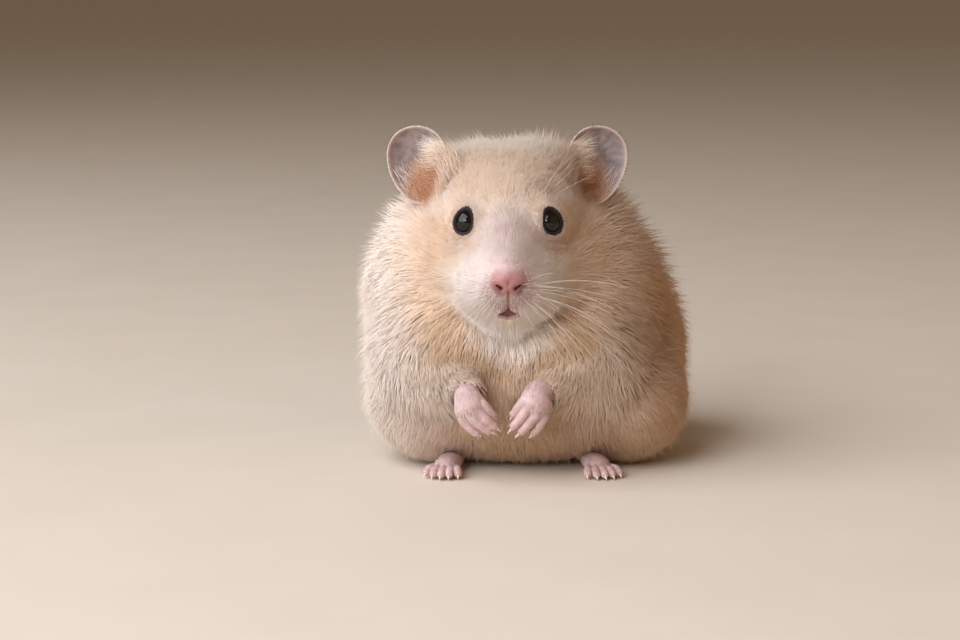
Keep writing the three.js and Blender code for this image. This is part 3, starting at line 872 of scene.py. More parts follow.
def ear_sheet(side):
    """Front rings, rim rings and rear rings of an ear, and its two middle points."""
    front = [ear_leaf(share, ear_turns) - half_thickness(share) for share in front_shares]
    rear = [ear_leaf(share, ear_turns) + half_thickness(share) for share in front_shares[::-1]]
    edge = ear_leaf(front_shares[-1], ear_turns)
    outwards = unit((ear_leaf(1.0, ear_turns) - edge) * [1, 0, 1])
    forwards = np.array([0, 1.0, 0])
    rim = [edge + EAR_RIM_RADIUS * (np.sin(a) * outwards - np.cos(a) * forwards) for a in rim_turns]
    rings = ear_place(np.array(front + rim + rear), side)
    middle = ear_leaf(0.0, np.zeros(1))[0]
    return rings, ear_place(middle - half_thickness(0), side), ear_place(middle + half_thickness(0), side)


def ear_map(side):
    """Map of an ear: its front on one disc and its rear on another, beside each other."""
    rows = 2 * len(front_shares) + len(rim_turns)
    left = 0.1 if side == "left" else 0.6

    def chart(row, turn):
        front = row <= rows / 2
        share = np.where(front, row + 1, rows - row) / (rows / 2 + 1)
        around = 2 * np.pi * turn
        return np.stack([
            np.where(front, left, left + 0.22) + 0.098 * share * np.cos(around),
            0.885 + 0.098 * share * np.sin(around),
        ], -1)

    return chart


ears = [put_sheet(f"ear_skin_{side}", ear_sheet(side), "ear", ear_map(side)) for side in SIDES]
ear_rows = np.concatenate([front_shares, np.full(len(rim_turns), 1.02), front_shares[::-1]])
# where the ear's edge is painted pale: painted light that comes through the thin rim
on_rim = np.repeat(ramp(ear_rows, 0.90, 0.985), EAR_COLUMNS)
for ear in ears:
    put_numbers(ear, "rim", np.append(on_rim, [0.0, 0.0]))
print("ears:", len(ear_rows), "rings of", EAR_COLUMNS)

# %% [markdown]
# ## Lids
# The rim of the lids is a thin dark tube that follows the drop-shaped opening over the ball. Then
# all the sheets become one skin. The union gives the value 0 to the points that it makes where two
# sheets meet, so the numbers that colour the lids are written afterwards, from the joined mesh.

# %% Lids and the whole skin
LID_ROWS, LID_COLUMNS = 72, 12


def lid_ring(side):
    """A tyre along the opening: each place is the drop's edge, set on the ball by its radius."""
    turn = turns(LID_ROWS)
    high = LID_HALF_HEIGHT * np.sin(turn)
    wide = LID_HALF_WIDTH * (1 - LID_TAPER * np.sin(turn)) * np.cos(turn)
    ball = EYE_RADIUS + LID_THICKNESS
    edge = np.stack([wide, high, np.sqrt(ball**2 - wide**2 - high**2)], -1)
    away = unit(edge)
    along = unit(np.roll(edge, -1, 0) - np.roll(edge, 1, 0))
    beside = np.cross(along, away)
    around = turns(LID_COLUMNS)
    thick = LID_RADIUS * (1 + 0.12 * np.sin(turn))[:, None, None]
    section = np.cos(around)[:, None] * beside[:, None] + 0.8 * np.sin(around)[:, None] * away[:, None]
    return EYE_CENTRES[side] + (edge[:, None] + thick * section) @ eye_axes(side), None, None


lids = [put_sheet(f"lid_{side}", lid_ring(side), "lid") for side in SIDES]
skin = joined(skin, [*limbs, tail, *ears, *lids])
places = np.empty(3 * len(skin.data.vertices))
skin.data.vertices.foreach_get("co", places)
places = places.reshape(-1, 3) / MM
put_numbers(skin, "lid", np.maximum(*[1 - ramp(in_lids(places, side), 1.26, 1.52) for side in SIDES]))
print("skin with paws, tail, ears and lids:", len(skin.data.polygons), "faces")

# %% [markdown]
# ## Eyes
# An eye is a ball with a clear, slightly steeper window in front. It is nearly black, so what
# shows is its gloss: the reflections of the lamps give it life.

# %% Eyeballs
EYE_ROWS, EYE_COLUMNS = 44, 64
EYE_GAP = 0.05  # the ball is this much smaller than its solid
CORNEA_RISE, CORNEA_ANGLE = 0.16, 0.6


def eyeball(side):
    """A ball about the look direction, whose radius rises towards it by a bell, like a watch glass."""
    angle = np.linspace(0, np.pi, EYE_ROWS + 2)[:, None]
    turn = turns(EYE_COLUMNS)
    radius = EYE_RADIUS - EYE_GAP + CORNEA_RISE * near(angle, CORNEA_ANGLE)
    local = np.stack([
        radius * np.sin(angle) * np.cos(turn),
        radius * np.sin(angle) * np.sin(turn),
        radius * np.cos(angle) * np.ones_like(turn),
    ], -1)
    placed = EYE_CENTRES[side] + local @ eye_axes(side)
    return placed[1:-1], placed[0, 0], placed[-1, 0]


eye_map = strip_map((0.05, 0.05, 0.95, 0.95), EYE_ROWS)
eyes = {}
for side in SIDES:
    points, corner, starts, at_row, at_turn = sheet_faces(*eyeball(side))
    eyes[side] = put_mesh(f"eyeball_{side}", points, corner, starts, eye_map(at_row, at_turn))
print("eyeballs:", [len(ball.data.polygons) for ball in eyes.values()], "faces")

# %% [markdown]
# ## Claws
# Claws are small horn hooks that go on along the bend of their fingers and toes. All of them are
# one mesh: the numbers of points and corners of each are shifted past those before it.

# %% Claws
claw_parts = [sheet_faces(*claw) for claw in claw_sheets]
point_shift = np.cumsum([0] + [len(part[0]) for part in claw_parts])
corner_shift = np.cumsum([0] + [len(part[1]) for part in claw_parts])


def claw_map(number):
    """A map that lays one claw in its own box, six boxes to a row."""
    left, bottom = 0.02 + 0.16 * (number % 6), 0.05 + 0.3 * (number // 6)
    return strip_map((left, bottom, left + 0.14, bottom + 0.25), CLAW_ROWS)


claws = put_mesh(
    "claws",
    np.concatenate([part[0] for part in claw_parts]),
    np.concatenate([part[1] + shift for part, shift in zip(claw_parts, point_shift)]),
    np.concatenate([part[2] + shift for part, shift in zip(claw_parts, corner_shift)]),
    np.concatenate([claw_map(i)(part[3], part[4]) for i, part in enumerate(claw_parts)]),
)
print("claws:", len(claws.data.polygons), "faces")

# %% [markdown]
# ## Strands
# All hair here is mesh: a strand is a thin three-sided spike along a path, closed at its foot. One
# function makes a piece of strands from an array of paths. Each strand has a small patch of the
# bake map at its root, and its normals lean to the coat's own surface, so a thousand spikes catch
# the light as one soft form, the way real fur does.

# %% Strands from paths
STRAND_PATCH = 0.003
SOFTNESS = 0.85  # how far a strand's normals lean to the surface of the coat


def strand_faces(rings, sides):
    """Faces of one strand: point, share along and share across of each corner, and first corners."""
    r, c = np.meshgrid(np.arange(rings - 1), np.arange(sides), indexing="ij")
    nexts = (c + 1) % sides
    low, high = r * sides, (r + 1) * sides
    wall_point = np.stack([low + c, high + c, high + nexts, low + nexts], -1)
    wall_along = np.stack([r, r + 1, r + 1, r], -1)
    wall_across = np.stack([c, c, c + 1, c + 1], -1)
    side = np.arange(sides)
    end = (rings - 1) * sides
    tip_point = np.stack([end + (side + 1) % sides, end + side, np.full(sides, rings * sides)], -1)
    tip_along = np.stack([np.full(sides, rings - 1)] * 2 + [np.full(sides, rings)], -1)
    tip_across = np.stack([side + 1, side, side + 0.5], -1)
    point = np.concatenate([wall_point.ravel(), tip_point.ravel(), side])
    along = np.concatenate([wall_along.ravel(), tip_along.ravel(), np.zeros(sides)]) / rings
    across = np.concatenate([wall_across.ravel(), tip_across.ravel(), side]) / sides
    sizes = np.concatenate([np.full((rings - 1) * sides, 4), np.full(sides, 3), [sides]])
    return point, along, across, np.concatenate([[0], np.cumsum(sizes)[:-1]])


def put_strands(name, paths, widths, shade, charts, chance, roots, sides=3, flat=0.35):
    """
    Strands as one mesh. paths: strand, ring, place, the last ring being the tip. widths: half the
    width at each ring. shade: the coat's normal at each ring. charts, chance and roots: one place on
    the bake map, one random number and one place on the skin for each strand.
    """
    count, rings = paths.shape[0], paths.shape[1] - 1
    along = unit(np.gradient(paths, axis=1))
    beside = unit(np.cross(along, shade))
    above = np.cross(beside, along)
    turn = turns(sides) + np.pi / 2
    circle = np.cos(turn)[:, None] * beside[:, :, None] + np.sin(turn)[:, None] * above[:, :, None]
    squash = np.cos(turn)[:, None] * beside[:, :, None] + flat * np.sin(turn)[:, None] * above[:, :, None]
    ring_points = paths[:, :rings, None] + widths[:, :rings, None, None] * squash[:, :rings]
    points = np.concatenate([ring_points.reshape(count, -1, 3), paths[:, rings:]], 1)
    ring_normals = unit((1 - SOFTNESS) * circle[:, :rings] + SOFTNESS * shade[:, :rings, None])
    normals = np.concatenate([ring_normals.reshape(count, -1, 3), shade[:, rings:]], 1)
    point, share, across, starts = strand_faces(rings, sides)
    corner = (point[None] + np.arange(count)[:, None] * points.shape[1]).ravel()
    all_starts = (starts[None] + np.arange(count)[:, None] * len(point)).ravel()
    patch = STRAND_PATCH * np.stack([across - 0.5, share - 0.5], -1)
    chart = (charts[:, None] + patch[None]).reshape(-1, 2)
    piece = put_mesh(name, points.reshape(-1, 3), corner, all_starts, chart)
    each = np.append(np.repeat(np.arange(rings), sides), rings) / rings
    put_numbers(piece, "along", np.tile(each, count))
    put_numbers(piece, "chance", np.repeat(chance, points.shape[1]))
    put_numbers(piece, "root", np.repeat(roots * MM, points.shape[1], axis=0))
    piece.data.normals_split_custom_set_from_vertices(normals.reshape(-1, 3))
    return piece


def triangles(piece):
    """How many triangles a piece has."""
    sizes = np.zeros(len(piece.data.polygons), np.int32)
    piece.data.polygons.foreach_get("loop_total", sizes)
    return int((sizes - 2).sum())


# %% [markdown]
# ## Where hair grows
# Roots are drawn from the cells of a sheet with a chance that goes with the cell's area and with
# the wanted density. Sorting the draws evenly over the cells keeps bald spots and heaps away.

# %% Roots on a sheet
def grown_roots(rings, density, count, seed):
    """Places on a sheet: cells drawn by area times density, and a place mixed from the cell's corners."""
    rng = np.random.default_rng(seed)
    wrapped = np.concatenate([rings, rings[:, :1]], 1)
    a, b, c, d = wrapped[:-1, :-1], wrapped[1:, :-1], wrapped[1:, 1:], wrapped[:-1, 1:]
    middle = (a + b + c + d) / 4
    area = 0.5 * norms(np.cross(c - a, d - b))
    total = np.cumsum((area * density(middle)).ravel())
    drawn = np.searchsorted(total, (np.arange(count) + rng.random(count)) / count * total[-1])
    row, column = np.divmod(np.minimum(drawn, area.size - 1), area.shape[1])
    s, t = rng.random((2, count, 1))
    on_row = (1 - t) * a[row, column] + t * d[row, column]
    on_next = (1 - t) * b[row, column] + t * c[row, column]
    return (1 - s) * on_row + s * on_next, row + s[:, 0], (column + t[:, 0]) / rings.shape[1]


LATTICE_MIX = [73856093, 19349663, 83492791]  # primes that scatter the cells over the table of draws


def nearest_seed(p, cell, key):
    """The nearest of a lattice's points, each shifted at random, and four random numbers of its own."""
    table = np.random.default_rng(key).random((4096, 7))
    base = np.floor(p / cell).astype(np.int64)
    nearest = np.full(len(p), np.inf)
    seed, numbers = np.zeros_like(p), np.zeros((len(p), 4))
    for offset in np.ndindex(3, 3, 3):
        here = base + np.array(offset) - 1
        draw = table[(here * LATTICE_MIX).sum(-1) & (len(table) - 1)]
        spot = (here + draw[:, :3]) * cell
        distance = ((p - spot) ** 2).sum(-1)
        closer = distance < nearest
        nearest = np.where(closer, distance, nearest)
        seed = np.where(closer[:, None], spot, seed)
        numbers = np.where(closer[:, None], draw[:, 3:], numbers)
    return seed, numbers


# %% [markdown]
# ## The lie of the coat
# Hair lies away from the nose over the head, away from the face and down over the body, and towards
# the wrist on the forelegs. The three ways are blended by how near a root is to each part.

# %% Which way the hair lies
NOSE_TIP = np.array([0, -39.5, 48.0])
FACE_MIDDLE = np.array([0.5, -24.0, 58.0])


def arm_side(p):
    """The place mirrored so that it lies on the left, and the factors that mirror it back."""
    sign = np.where(p[..., 0] > 0, 1.0, -1.0)
    flip = np.stack([sign, np.ones_like(sign), np.ones_like(sign)], -1)
    return p * flip, flip


def flattened(v, normal, share=1.0):
    """Vectors less a share of what they have along a normal."""
    return v - share * (v * normal).sum(-1, keepdims=True) * normal


def to_arm(p):
    """Distances to the upper arm and to the forearm without their coat."""
    q, _ = arm_side(p)
    bare = [(np.array(place, float), radius - coat) for place, radius, coat in JOINTS]
    return [to_taper(q, *a, *b) for a, b in zip(bare, bare[1:])]


def to_head_and_trunk(p):
    """Distances to the skin of the head and to that of the trunk."""
    q = p + np.array([0, 0, BODY_SEAT])
    head = blended_parts(q, HEAD_PARTS, 1.0, FACE_BLEND)
    return head, blended_parts(q, TRUNK_PARTS, 1.0, BODY_BLEND)


def hair_lie(p, normal):
    """Tangent of the skin along which a hair lies: the ways of head, body, eye and foreleg, blended."""
    head, trunk = to_head_and_trunk(p)
    on_head = 1 / (1 + np.exp(np.clip((head - trunk) / 1.5, -30, 30)))
    over_head = unit(p - NOSE_TIP) + np.array([0, 0.35, 0.05])
    over_body = unit(p - FACE_MIDDLE) + np.array([0, 0.15, -0.55])
    way = on_head[:, None] * over_head + (1 - on_head[:, None]) * over_body
    for centre in EYE_CENTRES.values():
        from_eye = p - centre
        close = 0.5 * near(np.maximum(norms(from_eye) - 3.9, 0), 1.4)[:, None]
        way = (1 - close) * way + close * unit(from_eye)
    on_left, flip = arm_side(p)
    upper, fore = to_arm(p)
    shoulder_place, elbow_place, wrist_place = (np.array(joint[0], float) for joint in JOINTS)
    down_upper = unit(elbow_place - shoulder_place) * flip
    down_fore = unit(wrist_place - elbow_place) * flip
    at_wrist = near(norms(on_left - wrist_place), 9)
    on_fore = (near(np.maximum(fore, 0), 2.0) * (0.35 + 0.5 * at_wrist))[:, None]
    on_upper = 0.3 * near(np.maximum(upper, 0), 2.0)[:, None] * (1 - on_fore)
    way = way * (1 - on_fore - on_upper) + down_fore * on_fore + down_upper * on_upper
    return unit(flattened(way, normal))


def turned(v, axis, angle):
    """Vectors turned about unit axes they are square to."""
    return np.cos(angle)[:, None] * v + np.sin(angle)[:, None] * np.cross(axis, v)


# %% [markdown]
# ## The path of a hair
# A hair rises quickly, bends over and runs along the skin, so its tip lies level with the outer
# form. Hairs lean together in locks: each belongs to a big and a small lock and its tip is drawn to
# their middles. A lock also shares a turn, a length and a lift, so the coat looks combed by chance.

# %% Paths of the coat
BIG_LOCK, SMALL_LOCK = 6.5, 2.2  # mm across
BOX_MARGIN = 1.8  # how far a loose tip may stand out of the frame's box, in mm
FLOOR_GAP_HAIR = 0.12  # no hair comes closer to the floor
# how much the tips are raised at most: all over the long coat, then in each of the tufts
LOOSE_FLUFF, EAR_FLUFF, JAW_FLUFF, SIDE_FLUFF, CROWN_FLUFF = 4.4, 3.0, 2.2, 3.5, 4.5


def coat_paths(root, normal, depth, shares, seed, under):
    """
    Paths of the coat. With s the share along: height = depth x lift x (1 - (1 - s)^1.7) along the
    normal, distance = what the length leaves x s^1.25 along the lie, less the pull to the lock's
    middle x s^1.4. What reaches out of the outer form is pushed back in, but for a few loose hairs.
    Under is 1 for the undercoat, which is shorter and stays in, and 0 for the hair over it.
    """
    rng = np.random.default_rng(seed)
    count = len(root)
    lie = hair_lie(root, normal)
    big, big_numbers = nearest_seed(root, BIG_LOCK, seed + 1)
    finer = np.where(depth < 2.5, 0.9, 1.0)[:, None]
    small, small_numbers = nearest_seed(root, finer * SMALL_LOCK, seed + 2)
    long_coat = ramp(depth, 1.6, 4.5)
    own = rng.random((5, count))
    over = 1 - under
    lock_swing = (big_numbers[:, 0] - 0.5) * (0.2 + 0.6 * long_coat) + (small_numbers[:, 0] - 0.5) * 0.6
    lie = turned(lie, normal, over * lock_swing + (own[0] - 0.5) * 0.5)
    from_eye = np.minimum(*[norms(root - centre) for centre in EYE_CENTRES.values()])
    full = (0.9 + 2.35 * depth**0.86) * (1 - 0.7 * muzzle_patch(root)) * (0.4 + 0.6 * ramp(from_eye, 4, 9))
    short = np.where(own[1] < 0.22 * over, 0.45 + 0.5 * own[2], 1.0)
    from_wrist = norms(arm_side(root)[0] - np.array(WRIST[0]))
    full = full * (1 - 0.15 * under * long_coat) * (1 - 0.4 * near(from_wrist, 7))
    length = full * (0.86 + 0.22 * big_numbers[:, 1]) * (0.88 + 0.2 * small_numbers[:, 1]) * short
    stray = over * (own[3] < 0.03) * long_coat > 0.3
    lift = 0.82 + 0.16 * small_numbers[:, 2] * over + 0.06 * own[4]
    lift = lift * np.where(short < 1, 0.8, 1.0) * np.where(stray, 1.2, 1.0)
    front = ramp(-normal[:, 1], 0.3, 0.9)
    fluff = over * (1 - 0.55 * front) * rng.random(count) * (
        LOOSE_FLUFF * long_coat * rng.random(count) ** 2
        + EAR_FLUFF * ear_tuft(root)
        + JAW_FLUFF * jaw_edge(root)
        + SIDE_FLUFF * side_tuft(root)
        + CROWN_FLUFF * crown_tuft(root)
    )
    height = depth * lift + fluff
    run = np.sqrt(np.maximum(length**2 - height**2, 0.25 * length**2))[:, None, None]
    s = shares[None, :, None]
    rise = height[:, None, None] * (1 - (1 - s) ** 1.7)
    phase = rng.random(count)[:, None, None]
    wave = 0.03 * length[:, None, None] * np.sin(2 * np.pi * (1.1 * s + phase)) * s
    path = root[:, None] + normal[:, None] * (rise - 0.25 * (s == 0)) + lie[:, None] * run * s**1.25
    path = path + np.cross(normal, lie)[:, None] * wave
    for middle, pull in ((big, 0.08 * long_coat), (small, 0.12 + 0.14 * long_coat)):
        offset = flattened(root - middle, normal)
        offset = offset / np.maximum(1, np.linalg.norm(offset, axis=-1, keepdims=True) / 3)
        path = path - over * offset[:, None] * (pull[:, None, None] * s**1.4)
    loose = over * np.where(stray, 0.9 * long_coat + 0.15, 0.0)
    allowed = (fluff + np.maximum(to_form(root) + depth, 0) + loose)[:, None]
    for _ in range(2):
        out = np.maximum(to_form(path, 0.0) - allowed, 0)
        path = path - normal[:, None] * out[..., None]
    path = np.clip(path, np.array(cad_low) / MM - BOX_MARGIN, np.array(cad_high) / MM + BOX_MARGIN)
    path[..., 2] = np.maximum(path[..., 2], FLOOR_GAP_HAIR)
    return path, length, small_numbers[:, 3]


def surface_normals(path, root_normal):
    """Normals of the coat along a path: the skin's at the root, turning to the outer form's at the tip."""
    tip = outward(path[:, -1], 0.0)
    share = np.linspace(0, 1, path.shape[1])[None, :, None]
    normal = unit((1 - share) * root_normal[:, None] + share * tip[:, None])
    on_top = 0.5 * ramp(path[..., 2], 60, 69)[..., None]  # the tips stand up there
    return unit((1 - on_top) * normal + on_top * np.array([0, 0.25, 1.0]))


# %% [markdown]
# ## Growing the coat
# The face has many short fine hairs, the body fewer long ones. No hair grows in the eyes, on the
# nose or in the mouth. Each patch of the coat is a piece of its own, to keep the meshes light.

# %% Densities
def to_hands(p):
    """Distance to the hands, each as a taper from the palm to the finger tips."""
    distance = np.full(p.shape[:-1], 99.0)
    for side in SIDES:
        wrist, palm = (np.array(PALMS[side][i][:3]) for i in (0, 1))
        tips = np.mean([f[2] for f in FINGERS[side]], axis=0)
        distance = np.minimum(distance, to_taper(p, 0.4 * wrist + 0.6 * palm, 3.4, tips, 2.2))
    return distance


def bare_share(p):
    """1 where no hair grows: between the lids, on the nose and under it, on the hands, in the mouth."""
    lids_open = np.zeros(p.shape[:-1])
    for side in SIDES:
        close = norms(p - EYE_CENTRES[side]) < 6
        lids_open = np.maximum(lids_open, (1 - ramp(in_lids(p, side), 1.14, 1.25)) * close)
    nose = (1 - ramp(to_bare_nose(p), 0.10, 0.45)) * (1 - ramp(p[..., 2], 49.6, 51.0)) * (p[..., 1] < -33)
    fold = near(p[..., 0], 0.35) * (p[..., 2] < 46) * (p[..., 2] > LIP_TOP) * (p[..., 1] < -33)
    hands = 1 - ramp(to_hands(p), 0.2, 0.9)
    return np.clip(lids_open + nose + fold + hands + ramp(mouth_share(p), 0.02, 0.15), 0, 1)


def muzzle_patch(p):
    """1 on the thinly haired patch beside and under the nose, soft at its edge."""
    far = np.hypot(p[..., 0] / 7.4, (p[..., 2] - 46.2) / 5.6)
    return (1 - ramp(far, 0.8, 1.25)) * (p[..., 1] < -28)


def ear_tuft(p):
    """1 in the middle of the tufts between the crown and the ears."""
    q, _ = arm_side(p)
    return near(norms((q - [14.0, -7.5, 73.0]) / [1, 1.2, 1]), 4.6)


def crown_tuft(p):
    """1 on top of the head beside each ear, where the coat stands up."""
    q, _ = arm_side(p)
    return near(np.hypot((q[..., 0] - 9.5) / 5.5, (q[..., 1] + 3) / 8), 1) * ramp(p[..., 2], 68, 73)


def side_tuft(p):
    """Where long hair stands out to the sides: 1 behind each ear and 0.9 lower on the left side."""
    q, _ = arm_side(p)
    lower = near(norms((p - [33.0, -2.0, 44.0]) / [1, 1.4, 1]), 13)
    return near(norms((q - [23.0, 0.0, 59.0]) / [1, 1.6, 1]), 7) + 0.9 * lower


def jaw_edge(p):
    """1 along the lower edge of the muzzle and the cheeks, whose hair hangs over the throat."""
    q, _ = arm_side(p)
    edge = np.hypot(q[..., 0] / 13.0, (q[..., 2] - 47.0) / 11.5)
    return near(edge - 1.0, 0.22) * (q[..., 2] < 44) * (q[..., 1] < -17)


def coat_depth(p):
    """Depth of the coat at a place on the skin."""
    chin = near(np.hypot(p[..., 0] / 9, (p[..., 2] - 36.0) / 3), 1) * (p[..., 1] < -20)
    wrist = near(norms(arm_side(p)[0] - np.array(WRIST[0])), 6)
    return np.clip((-to_form(p, 0.0) + 1.5 * chin + 2.4 * ear_tuft(p)) * (1 - 0.6 * wrist), 0.45, 8.0)


def on_face(p):
    """1 where the short hair of the face grows, 0 on the body."""
    head, trunk = to_head_and_trunk(p)
    return (1 - ramp(coat_depth(p), 2.6, 4.2)) * ramp(trunk - head, -1.0, 1.0)


def face_density(p):
    """Hair of the face, densest near the nose."""
    near_nose = near(norms(p - NOSE_TIP), 14)
    rims = sum(near(in_lids(p, side) - 1.35, 0.4) for side in SIDES)
    by_lips = near(np.hypot(p[..., 0] / 4.4, (p[..., 2] - 39.6) / 1.7), 1) * (p[..., 1] < -25)
    borders = (1 + 1.5 * rims + 1.0 * jaw_edge(p)) * (1 - 0.75 * by_lips)
    return on_face(p) * (1 - bare_share(p)) * (1 + 1.2 * near_nose) * (1 - 0.9 * muzzle_patch(p)) * borders


def body_density(p, in_face=0.0):
    """Hair of the body, thin where the animal sits and where the forelegs cover it."""
    beyond_face = 1 - (1 - in_face) * on_face(p) ** 2
    upper, fore = to_arm(p)
    under_arm = np.minimum(upper, fore) < -0.6
    seat = 1 - 0.75 * (1 - ramp(p[..., 2], 1.5, 6))
    behind = 1 - 0.12 * ramp(p[..., 1], 5, 20)
    return beyond_face * (1 - bare_share(p)) * ~under_arm * seat * behind

# %% [markdown]
# Now the numbers of the coat, and the function that grows one piece of it from its roots.

# %% One piece of the coat
STRAIGHT, BENT = np.array([0.0, 1.0]), np.array([0.0, 0.45, 1.0])
FACE_COUNT, UNDER_COUNT, OVER_COUNT = 78000, 38000, 62000
ARM_UNDER_COUNT, ARM_OVER_COUNT = 1500, 2400
# half the width of a strand in mm at its foot, its bend and its tip: the undercoat's are broad leaves
FACE_WIDTHS, UNDER_WIDTHS, OVER_WIDTHS = (0.095, 0.0), (0.16, 0.29, 0.0), (0.08, 0.07, 0.0)


def coat_piece(name, root, chart, shares, widths, seed, under=0.0):
    """One piece of the coat from its roots. A hair that would lie over a bare place ends before it."""
    rng = np.random.default_rng(seed)
    normal = outward(root, 0.7)
    beside = {side: norms(root - centre) < 8 for side, centre in EYE_CENTRES.items()}
    for side, close in beside.items():
        normal[close] = slope_of(partial(to_domed_skin, side=side), root[close])
    paths, length, lock = coat_paths(root, normal, coat_depth(root), shares, seed, under)
    for side, close in beside.items():  # by the eyes the hair is kept above the skin
        sunk = np.maximum(0.16 * shares**0.5 - to_domed_skin(paths[close], side), 0) * (shares > 0)
        paths[close] = paths[close] + normal[close][:, None] * sunk[..., None]
    clear = np.zeros(len(root))
    for share in (0.25, 0.5, 0.75, 1.0):
        free = bare_share((1 - share) * paths[:, 0] + share * paths[:, -1]) < 0.2
        clear = np.where(free & (clear > share - 0.3), share, clear)
    paths = paths[:, :1] + clear[:, None, None] * (paths - paths[:, :1])
    kept = [values[clear > 0] for values in (root, chart, normal, paths, length, lock)]
    root, chart, normal, paths, length, lock = kept
    broad = 1 + 0.4 * under * ramp(normal[:, 1], -0.3, 0.5)
    width = (broad * (0.75 + 0.5 * rng.random(len(root))))[:, None] * np.array(widths)[None]
    chance = 0.55 * lock + 0.45 * rng.random(len(root))
    piece = put_strands(name, paths, width, surface_normals(paths, normal), chart, chance, root)
    print(f"{name}: {len(root)} strands, {triangles(piece)} triangles, {length.mean():.1f} mm long")
    return piece


def body_regions(root):
    """The parts of the body's coat: which roots belong to each."""
    around = np.arctan2(root[:, 0] - 3, -(root[:, 1] - 2))  # 0 in front, growing to the left side
    height = root[:, 2]
    high = height > 50
    front = ~high & (np.abs(around) < 0.75)
    left = ~high & (around >= 0.75) & (around < 2.3)
    right = ~high & (around <= -0.75) & (around > -2.3)
    rear = ~high & (np.abs(around) >= 2.3)
    return {
        "crown": high & (root[:, 1] < 2), "nape": high & (root[:, 1] >= 2),
        "chest": front & (height > 24), "belly": front & (height <= 24),
        "left_shoulder": left & (height > 26), "left_flank": left & (height <= 26),
        "right_shoulder": right & (height > 26), "right_flank": right & (height <= 26),
        "back": rear & (height > 28), "rump": rear & (height <= 28),
    }


def arm_density(p):
    """Hair of a foreleg, where it is out of the body, denser on the forearm."""
    return (to_skin(p) > -0.4) * (1 + 1.5 * near(to_arm(p)[1], 1.5))


# %% [markdown]
# The face gets straight short hairs, left and right. The body gets two layers: an undercoat of broad
# leaves that hides the skin, and thin bent hairs over it, of which some grow on into the face, so
# that no border shows between short hair and long.

# %% Coat pieces
LAYERS = {  # hairs on the body and on a foreleg, widths, share of the undercoat, share in the face, seed
    "under": (UNDER_COUNT, ARM_UNDER_COUNT, UNDER_WIDTHS, 1.0, 0.0, 17),
    "over": (OVER_COUNT, ARM_OVER_COUNT, OVER_WIDTHS, 0.0, 0.16, 16),
}
coat = []
root, row, turn = grown_roots(skin_rings, face_density, FACE_COUNT, 11)
chart = disc_map(row, turn)
for name, here in (("face_left", root[:, 0] >= 0), ("face_right", root[:, 0] < 0)):
    coat.append(coat_piece(name, root[here], chart[here], STRAIGHT, FACE_WIDTHS, 21))
for layer, (count, arm_count, widths, under, in_face, seed) in LAYERS.items():
    root, row, turn = grown_roots(skin_rings, partial(body_density, in_face=in_face), count, seed)
    chart = disc_map(row, turn)
    for name, here in body_regions(root).items():
        coat.append(coat_piece(f"{layer}coat_{name}", root[here], chart[here], BENT, widths, 31, under))
    for side in SIDES:
        root, row, turn = grown_roots(arm_sheets[side][0], arm_density, arm_count, 41)
        name = f"{layer}coat_foreleg_{side}"
        coat.append(coat_piece(name, root, arm_maps[side](row, turn), BENT, widths, 43, under))
print("coat:", sum(triangles(c) for c in coat), "triangles")

# %% [markdown]
# ## Fine hairs of the ears, the paws and the lids
# The backs of the paws carry thin white hairs that point to the claws. The hollow of the ear has
# orange down at its root, a pale fringe grows over its inner edge, and short dark hairs stand along
# its rim and round the lids. They are too small for the solids, so they are grown here.

# %% Fine hairs
def hair_piece(name, root, normal, lie, length, lift, chart, width, seed):
    """Hairs from roots and ways: height = length x lift x (1 - (1 - s)^1.7), distance = length x s."""
    s = BENT[None, :, None]
    rise = (length * lift)[:, None, None] * (1 - (1 - s) ** 1.7)
    run = length[:, None, None] * s
    path = root[:, None] + normal[:, None] * (rise - 0.12 * (s == 0)) + lie[:, None] * run
    widths = width * np.interp(BENT, [0, 0.45, 1], [1.0, 0.85, 0.0])[None] * np.ones((len(root), 1))
    chance = np.random.default_rng(seed).random(len(root))
    shade = np.repeat(normal[:, None], len(BENT), 1)
    piece = put_strands(name, path, widths, shade, chart, chance, root)
    print(name, len(root), "hairs", triangles(piece), "triangles")
    return piece


def on_tube(name, count, facing, seed):
    """Roots on the side of a tube that faces a way, with normals, the way to its tip and map places."""
    rings, chart = kept_sheets[name]
    root, row, turn = grown_roots(rings, lambda p: np.ones(p.shape[:-1]), count, seed)
    centres = rings.mean(1)
    here = np.minimum(row.astype(int), len(rings) - 1)
    normal = unit(root - centres[here])
    along = unit(np.gradient(centres, axis=0))[here]
    lie = unit(flattened(along, normal))
    keep = ((normal * unit(np.array(facing, float))).sum(-1) > 0.1) & (row > 2) & (row < 0.86 * len(rings))
    return [v[keep] for v in (root, normal, lie, chart(row, turn))]


def gathered(groups):
    """Several groups of hair as one: the same array of each, end to end."""
    return [np.concatenate(arrays) for arrays in zip(*groups)]


PAW_WIDTH, EAR_WIDTH, DARK_WIDTH = 0.05, 0.055, 0.035  # half the width of a hair at its foot
FORWARDS, UPWARDS = (0, -1, 0.6), (0, -0.2, 1)
hairy_tubes = []  # name, hairs, the way they face, seed, length in mm
for side in SIDES:
    hairy_tubes += [(f"finger_{side}_{i}", 150, FORWARDS, 61 + i, 1.3) for i in range(4)]
    hairy_tubes += [(f"toe_{side}_{i}", 110, UPWARDS, 71 + i, 1.0) for i in range(5)]
    hairy_tubes += [(f"palm_{side}", 1300, (0, -1, 0.5), 81, 2.0), (f"foot_{side}", 1100, UPWARDS, 82, 1.6)]
paw_hairs = []
for name, count, facing, seed, length in hairy_tubes:
    root, normal, lie, chart = on_tube(name, count, facing, seed)
    paw_hairs.append((root, normal, lie, chart, np.full(len(root), length)))
root, normal, lie, chart, length = gathered(paw_hairs)
rng = np.random.default_rng(83)
length = length * (0.7 + 0.5 * rng.random(len(root)))
